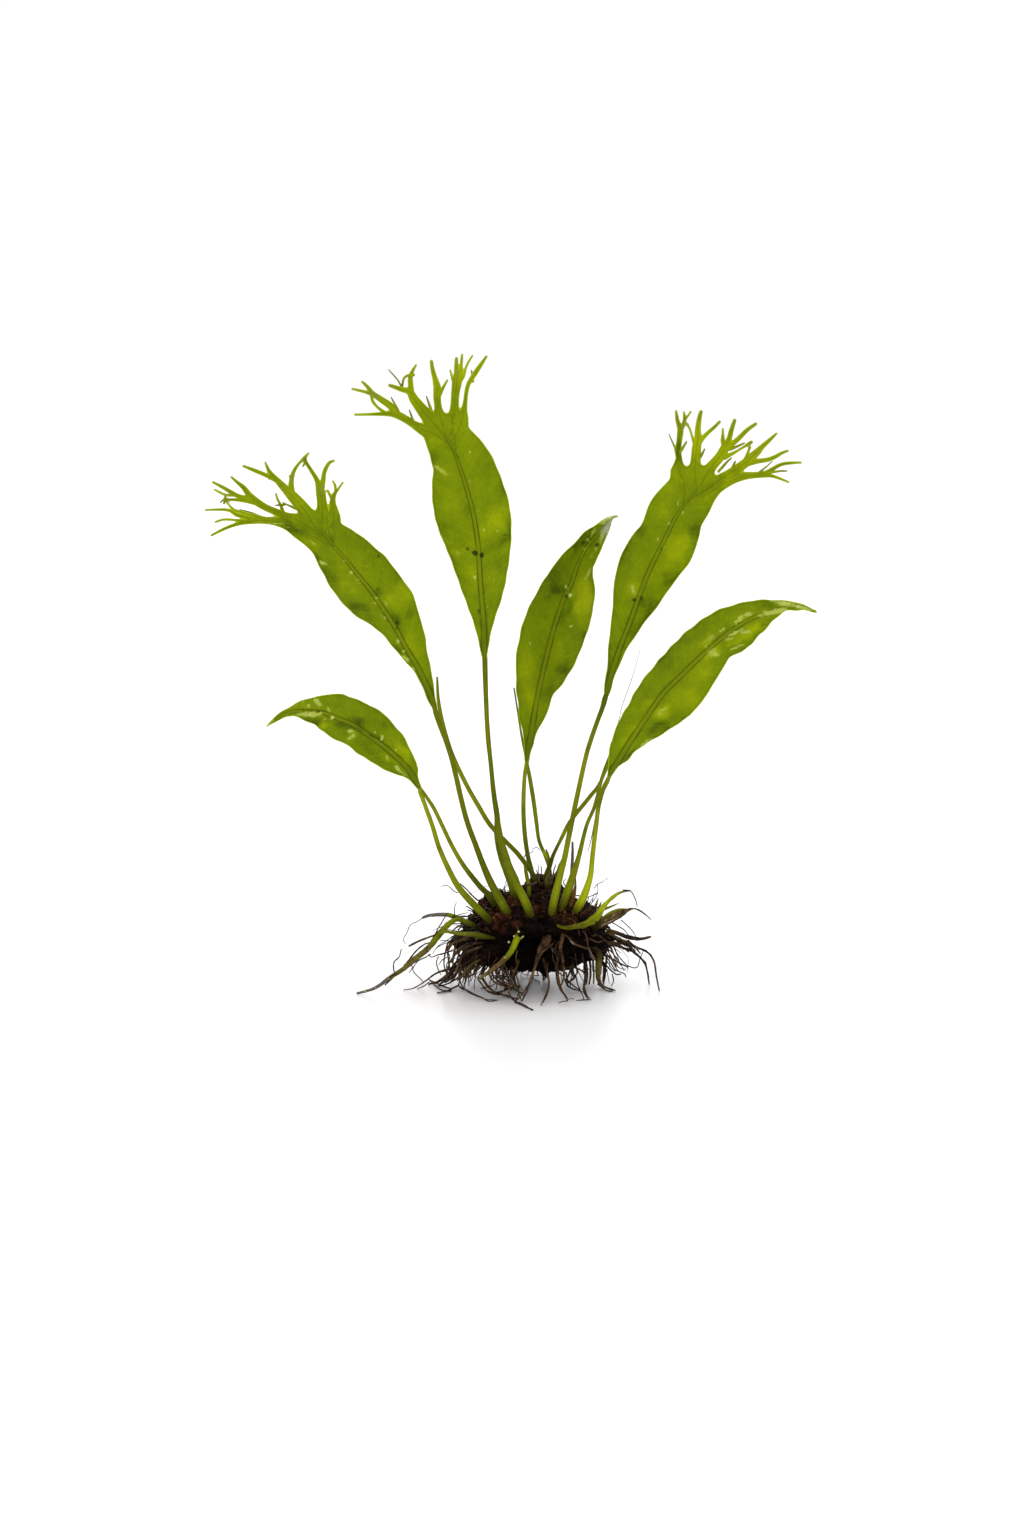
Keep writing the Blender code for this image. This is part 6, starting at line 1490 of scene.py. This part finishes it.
def hangingRoot(drift, zone):
    half = drift.uniform(*zone["half"])
    direction = (Vector(zone["aim"]).normalized() + aside(drift, zone["spread"])).normalized()
    spot = clumpPoint(direction, -tangle["buried"])
    heading = (direction + aside(drift, 0.5)).normalized()
    points = [spot]
    for _ in range(int(drift.uniform(*zone["length"]) / tangle["step"])):
        heading = heading + aside(drift, tangle["wander"] * tangle["steadier"]) - Vector(tangle["pull"])
        heading = heading.normalized()
        spot = spot + heading * tangle["step"]
        if len(points) > 2 and insideClump(spot):
            spot = clumpSeat(spot, half)
        if spot.z < half + tangle["floorGap"]:
            spot.z = half + tangle["floorGap"]
            heading.z = max(heading.z, 0)
        if spot.y > tangle["backLimit"]:
            break
        points.append(spot)
    return points, half


def rootletPart(drift, points, half):
    halves = half * np.linspace(*tangle["taper"], len(points))
    seed = int(drift.integers(9999))
    part = tubePart(points, halves, tangle["sides"], lumps=tangle["lumps"], seed=seed)
    return shaded(part, drift.uniform(0, 1) ** 1.5)


matDrift = np.random.default_rng(47)
crawling = [rootletPart(matDrift, *crawlingRoot(matDrift)) for _ in range(tangle["crawling"]["many"])]
makePiece("rootMat", crawling, [finishes["matted"]])
hanging = []
for zone in tangle["zones"]:
    for _ in range(zone["many"]):
        points, half = hangingRoot(matDrift, zone)
        if len(points) > 3:
            hanging.append(rootletPart(matDrift, points, half))
makePiece("rootTangle", hanging, [finishes["rootlet"]])
print("tangle ready:", len(crawling), "crawling", len(hanging), "hanging")


# The crown between the stalks: dry scales, crumbs and short bristles on the clump's top.
crown = {
    "lowest": 0.22,
    "scales": {"many": 300, "length": (0.7, 2.0), "half": (0.22, 0.55), "flat": 0.30, "buried": 0.25,
               "along": (0, 0.35, 0.7, 1.0), "taper": (0.8, 1.0, 0.6, 0.1)},
    "crumbs": {"many": 330, "size": (0.22, 0.55), "shade": (0, 1)},
    "lumps": {"many": 96, "size": (0.6, 1.4), "shade": (0, 0.62)},
    "bristles": {"many": 40, "length": (0.8, 2.6), "half": (0.05, 0.09), "buried": 0.3, "step": 0.5,
                 "wander": 0.22, "pull": (0, 0, 0.05)},
}


def crownDirection(drift):
    # upper half of the clump, denser towards its rim
    turn, height = drift.uniform(0, 2 * math.pi), drift.uniform(crown["lowest"], 1.0)
    level = math.sqrt(max(0.0, 1 - height * height))
    return Vector((math.cos(turn) * level, math.sin(turn) * level, height))


def scalePart(drift):
    direction = crownDirection(drift)
    size = crown["scales"]
    half, length = drift.uniform(*size["half"]), drift.uniform(*size["length"])
    start = clumpPoint(direction, -size["buried"])
    heading = (direction * 0.7 + aside(drift, 0.5)).normalized()
    bend = aside(drift, 0.3)
    points = [start + heading * (length * t) + bend * (t * t * length) for t in size["along"]]
    seed = int(drift.integers(9999))
    part = tubePart(points, half * np.array(size["taper"]), 6, flat=size["flat"], lumps=0.10, seed=seed)
    return shaded(part, drift.uniform(0, 1))


def crumbPart(drift, kind):
    direction = crownDirection(drift)
    size = drift.uniform(*crown[kind]["size"])
    middle = clumpPoint(direction, -size * 0.1)
    stretch = drift.uniform(0.6, 1.4, 3)
    shift = Vector(drift.uniform(0, 50, 3).tolist())

    def moved(spot):
        swell = 1 + 0.7 * noise.noise(spot * (1.5 / size) + shift)
        return [middle[k] + spot[k] * swell * stretch[k] for k in range(3)]

    return shaded(ballPart(2, size, moved), drift.uniform(*crown[kind]["shade"]))


def bristlePart(drift):
    direction = crownDirection(drift)
    size = crown["bristles"]
    length, half = drift.uniform(*size["length"]), drift.uniform(*size["half"])
    spot = clumpPoint(direction, -size["buried"])
    heading = (direction + aside(drift, 0.5)).normalized()
    points = [spot]
    for _ in range(max(3, int(length / size["step"]))):
        heading = (heading + aside(drift, size["wander"]) - Vector(size["pull"])).normalized()
        spot = spot + heading * size["step"]
        points.append(spot)
    part = tubePart(points, half * np.linspace(1, 0.5, len(points)), 4)
    return shaded(part, drift.uniform(0, 1))


crownDrift = np.random.default_rng(53)
scales = [scalePart(crownDrift) for _ in range(crown["scales"]["many"])]
makePiece("crownScales", scales, [finishes["scale"]])
crumbs = [crumbPart(crownDrift, kind) for kind in ("crumbs", "lumps") for _ in range(crown[kind]["many"])]
makePiece("crownCrumbs", crumbs, [finishes["scale"]])
bristles = [bristlePart(crownDrift) for _ in range(crown["bristles"]["many"])]
makePiece("crownBristles", bristles, [finishes["rootlet"]])
print("crown ready")


# Small things about the crown and the runners: finish, slot, flatness, lumps, depth at the
# start and the end, tones, rows of (across, up, half thickness).
smallParts = {
    "hangingLump": ("rust", "root", 1, 0.16, "clump", -20.5, {}, [(25, 146, 40), (20, 129, 130),
        (9, 109, 120), (0, 90, 85), (-9, 70, 50), (-14, 53, 30)]),
    "hangingRib": ("rust", "root", 1, 0.12, "clump", -22, {}, [(63, 151, 34), (62, 132, 53), (57, 109, 56),
        (59, 87, 45), (64, 64, 36)]),
    "stalkSheath": ("sheath", "dead_stalk", 0.4, 0.08, -8.6, -7.6, {}, [(100, 300, 11), (99, 277, 36),
        (95, 255, 62), (88, 235, 64), (83, 218, 45), (78, 204, 17)]),
    "rolledBract": ("runner", "runner", 0.6, 0.05, "clump", 2,
        {"fresh": (0.35, 0.45, 0.3), "withered": (0.2, 0.1, 0.3)}, [(-20, 241, 20), (-8.4, 243, 31),
        (8.4, 244, 31), (20, 243, 20)]),
    "budBody": ("runner", "runner", 0.7, 0.08, 2, 2.4,
        {"fresh": (0.1, 0.3, 0.2), "withered": (0.7, 0.5, 0.6)}, [(22, 272, 73), (22, 288, 101),
        (25, 302, 73), (29, 314, 20)]),
    "budBract": ("stalk", "runner", 0.5, 0.03, 3.4, 3.8, {"fresh": (0.1, 0.15, 0.2)}, [(27, 342, 17),
        (24, 361, 31), (19, 374, 28), (16, 381, 11)]),
    "budLeaflet": ("runner", "runner", 0.3, 0.03, 3.6, 3.9, {"fresh": (0.9, 1.2, 0.8)}, [(25, 344, 14),
        (20, 358, 50), (13, 368, 62), (8.4, 375, 22)]),
    "sideBlade": ("stalk", "runner", 0.5, 0.03, -9.6, -9.4, {"fresh": (0.7, 0.65, 0.5)}, [(168, 207, 39),
        (185, 214, 36), (202, 221, 28), (220, 229, 8)]),
    "scrapLeft": ("runner", "dead_stalk", 0.5, 0.06, -8, -7, {"fresh": (0.3, 0.4), "withered": (0.8, 0.3)},
        [(151, 210, 34), (157, 224, 36), (160, 235, 25), (164, 244, 8)]),
    "scrapRight": ("runner", "dead_stalk", 0.5, 0.06, -8, -7, {"fresh": (0.3, 0.5), "withered": (0.6, 0.3)},
        [(162, 213, 34), (168, 224, 28), (172, 235, 8)]),
    "scrapLow": ("rust", "dead_stalk", 0.5, 0.06, -9, -8, {}, [(120, 199, 36), (134, 210, 62),
        (151, 217, 50), (165, 216, 17)]),
    "deadBladeEdge": ("runner", "dead_stalk", 0.6, 0.05, -14.6, -13.4,
        {"fresh": (0.25, 0.3, 0.3, 0.2), "withered": (0.3, 0.25, 0.3, 0.6)}, [(172, 187, 20),
        (190, 199, 32), (207, 208, 32), (224, 212, 30), (246, 213, 12)]),
    # painted highlight: a pale strand laid along the dead blade
    "deadBladeHighlight": ("ivory", "dead_stalk", 0.5, 0.05, -14.9, -14.4, {}, [(170, 164, 5), (184, 172, 10),
        (198, 179, 7), (220, 189, 4)]),
    "paleHairRoot": ("ivory", "root", 1, 0.05, "clump", -21.5, {}, [(109, 155, 10), (123, 148, 14),
        (132, 130, 15), (134, 109, 17), (141, 91, 25), (148, 77, 36), (153, 71, 17)]),
    "paleTopRoot": ("ivory", "root", 1, 0.06, "clump", -21.5, {}, [(64, 144, 14), (80, 133, 25),
        (91, 119, 25), (104, 111, 17), (129, 102, 11)]),
    "leafHair": ("stalk", "stalk", 1, 0, -22.3, -21, {"fresh": (0.2, 0.2), "greyed": (0.2, 0.8)},
        [(216, 719, 9), (230, 781, 9), (246, 826, 9), (263, 876, 8), (280, 938, 6)]),
    "stalkThread": ("rust", "dead_stalk", 1, 0.05, -15.2, -14.6, {}, [(153, 460, 10), (145, 416, 13),
        (134, 372, 8)]),
}


smallShape = {
    "step": 0.5,
    "sides": 12,
    # depth in mm inside the clump's front, and share of the half thickness that stands out of it
    "buried": 1.0,
    "proud": 0.5,
}


def smallPart(finish, slotName, flat, lumps, start, end, tones, rows, seed):
    line = smoothLine(inMm(rows, strandUnits), smallShape["step"])
    fronts = np.array([clumpDepth(across, up) for across, up, _ in line])
    first = min(fronts[0] + smallShape["buried"], netShape["besideDepth"]) if start == "clump" else start
    run = np.linspace(0, 1, len(line))
    depth = first + (end - first) * run
    if start == "clump":
        over = np.where(fronts < clump["missed"], fronts - line[:, 2] * smallShape["proud"], depth)
        depth = depth + (np.minimum(depth, over) - depth) * np.clip(run * 4, 0, 1)
    route = np.column_stack((line[:, :2], depth, line[:, 2]))
    return stemPart(route, smallShape["sides"], smallShape["step"], tones, lumps=lumps, seed=seed, flat=flat)


for order, (name, plan) in enumerate(smallParts.items()):
    part = smallPart(*plan, 700 + order)
    makePiece(name, [part], [finishes[plan[0]]])

# pale nodules on the front runner, the right runner and the crown: (across, up, half)
nodules = [(-54, 132, 42), (-48, 135, 30), (-87, 120, 36), (-72, 136, 30), (-60, 149, 34), (-79, 96, 26),
           (-64, 116, 24), (184, 151, 20), (189, 158, 16), (206, 197, 34), (183, 183, 32)]
noduleShape = {
    "rings": 7,
    "sides": 10,
    "lumps": 0.06,
    "lean": 0.15,
    "ends": 0.98,
    # depth in mm beside the clump, the furthest back, and how far those on the front runner stand out
    "besideDepth": -13.0,
    "backLimit": -12.0,
    "runnerOut": 2.6,
}
beads = []
for order, (across, up, half) in enumerate(inMm(nodules, strandUnits)):
    depth = min(clumpDepth(across, up, noduleShape["besideDepth"]), noduleShape["backLimit"])
    spot = place([(across, up, depth - noduleShape["runnerOut"] * (across < 0))])[0]
    rise = np.linspace(-1, 1, noduleShape["rings"]) * noduleShape["ends"]
    points = [spot + np.array([noduleShape["lean"] * half * k, 0, half * k]) for k in rise]
    halves = half * np.sqrt(1 - rise ** 2)
    seed = 720 + order
    beads.append(tubePart(points, halves, noduleShape["sides"], lumps=noduleShape["lumps"], seed=seed))
makePiece("runnerNodules", beads, [finishes["nodule"]])
print("small parts ready:", len(smallParts))


stage = {
    "floorSize": 6.0,
    "floorColour": rgb(0.93, 0.93, 0.94),
    # painted shadow: the floor is painted darker round the plant
    "floorShade": rgb(0.80, 0.775, 0.775),
    "shadeMiddle": (-0.016, -0.016, 0.0),
    "shadeReach": (0.008, 0.052),
    "whiteReach": (0.25, 0.9),
    "floorRoughness": 0.34,
    "floorGloss": 0.3,
    "skyStrength": 1.04,
    "lampAim": (0, 0, 0.06),
    # each lamp's place in m, size and power
    "lamps": {
        "softbox left": ((-0.9, -0.9, 1.1), 1.2, 4.0),
        "softbox right": ((1.0, -0.7, 0.9), 1.2, 2.0),
        "softbox behind": ((0.1, 1.2, 0.9), 1.4, 5.0),
    },
}


def makeFloor():
    mesh = bpy.data.meshes.new("studioFloor")
    half = stage["floorSize"] / 2
    corners = [(-half, -half, 0), (half, -half, 0), (half, half, 0), (-half, half, 0)]
    mesh.from_pydata(corners, [], [(0, 1, 2, 3)])
    look = Shading("studio floor")
    away = look.step("VectorMath", {0: look.room, 1: stage["shadeMiddle"]}, operation="DISTANCE")
    away = away.outputs["Value"]
    near = look.blend(look.span(away, *stage["shadeReach"]), stage["floorShade"], stage["floorColour"])
    tint = look.blend(look.span(away, *stage["whiteReach"]), near, rgb(1, 1, 1))
    look.feed(look.shader, {"Base Color": tint, "Roughness": stage["floorRoughness"],
                            "Specular IOR Level": stage["floorGloss"]})
    mesh.materials.append(look.finish)
    floor = bpy.data.objects.new("studioFloor", mesh)
    bpy.context.scene.collection.objects.link(floor)


def makeLight():
    sky = bpy.data.worlds.new("white studio")
    sky.use_nodes = True
    sky.node_tree.nodes["Background"].inputs["Color"].default_value = rgb(1, 1, 1)
    sky.node_tree.nodes["Background"].inputs["Strength"].default_value = stage["skyStrength"]
    bpy.context.scene.world = sky
    for name, (spot, size, power) in stage["lamps"].items():
        lamp = bpy.data.lights.new(name, "AREA")
        lamp.size, lamp.energy = size, power
        holder = bpy.data.objects.new(name, lamp)
        holder.location = spot
        holder.rotation_euler = (Vector(stage["lampAim"]) - Vector(spot)).to_track_quat("-Z", "Y").to_euler()
        bpy.context.scene.collection.objects.link(holder)
    bpy.context.scene.view_settings.view_transform = "Standard"


def makeCamera():
    aim = Vector((sight["across"], -sight["footDepth"], sight["aimHeight"])) * mm
    back = Vector((0, -math.cos(sight["down"]), math.sin(sight["down"]))) * sight["distance"] * mm
    eye = bpy.data.cameras.new("camera")
    eye.lens = eye.sensor_width * sight["distance"] / sight["frameHeight"]
    camera = bpy.data.objects.new("camera", eye)
    camera.location = aim + back
    camera.rotation_euler = (-back).to_track_quat("-Z", "Y").to_euler()
    bpy.context.scene.collection.objects.link(camera)
    bpy.context.scene.camera = camera


makeFloor()
makeLight()
makeCamera()
print("stage and camera ready")
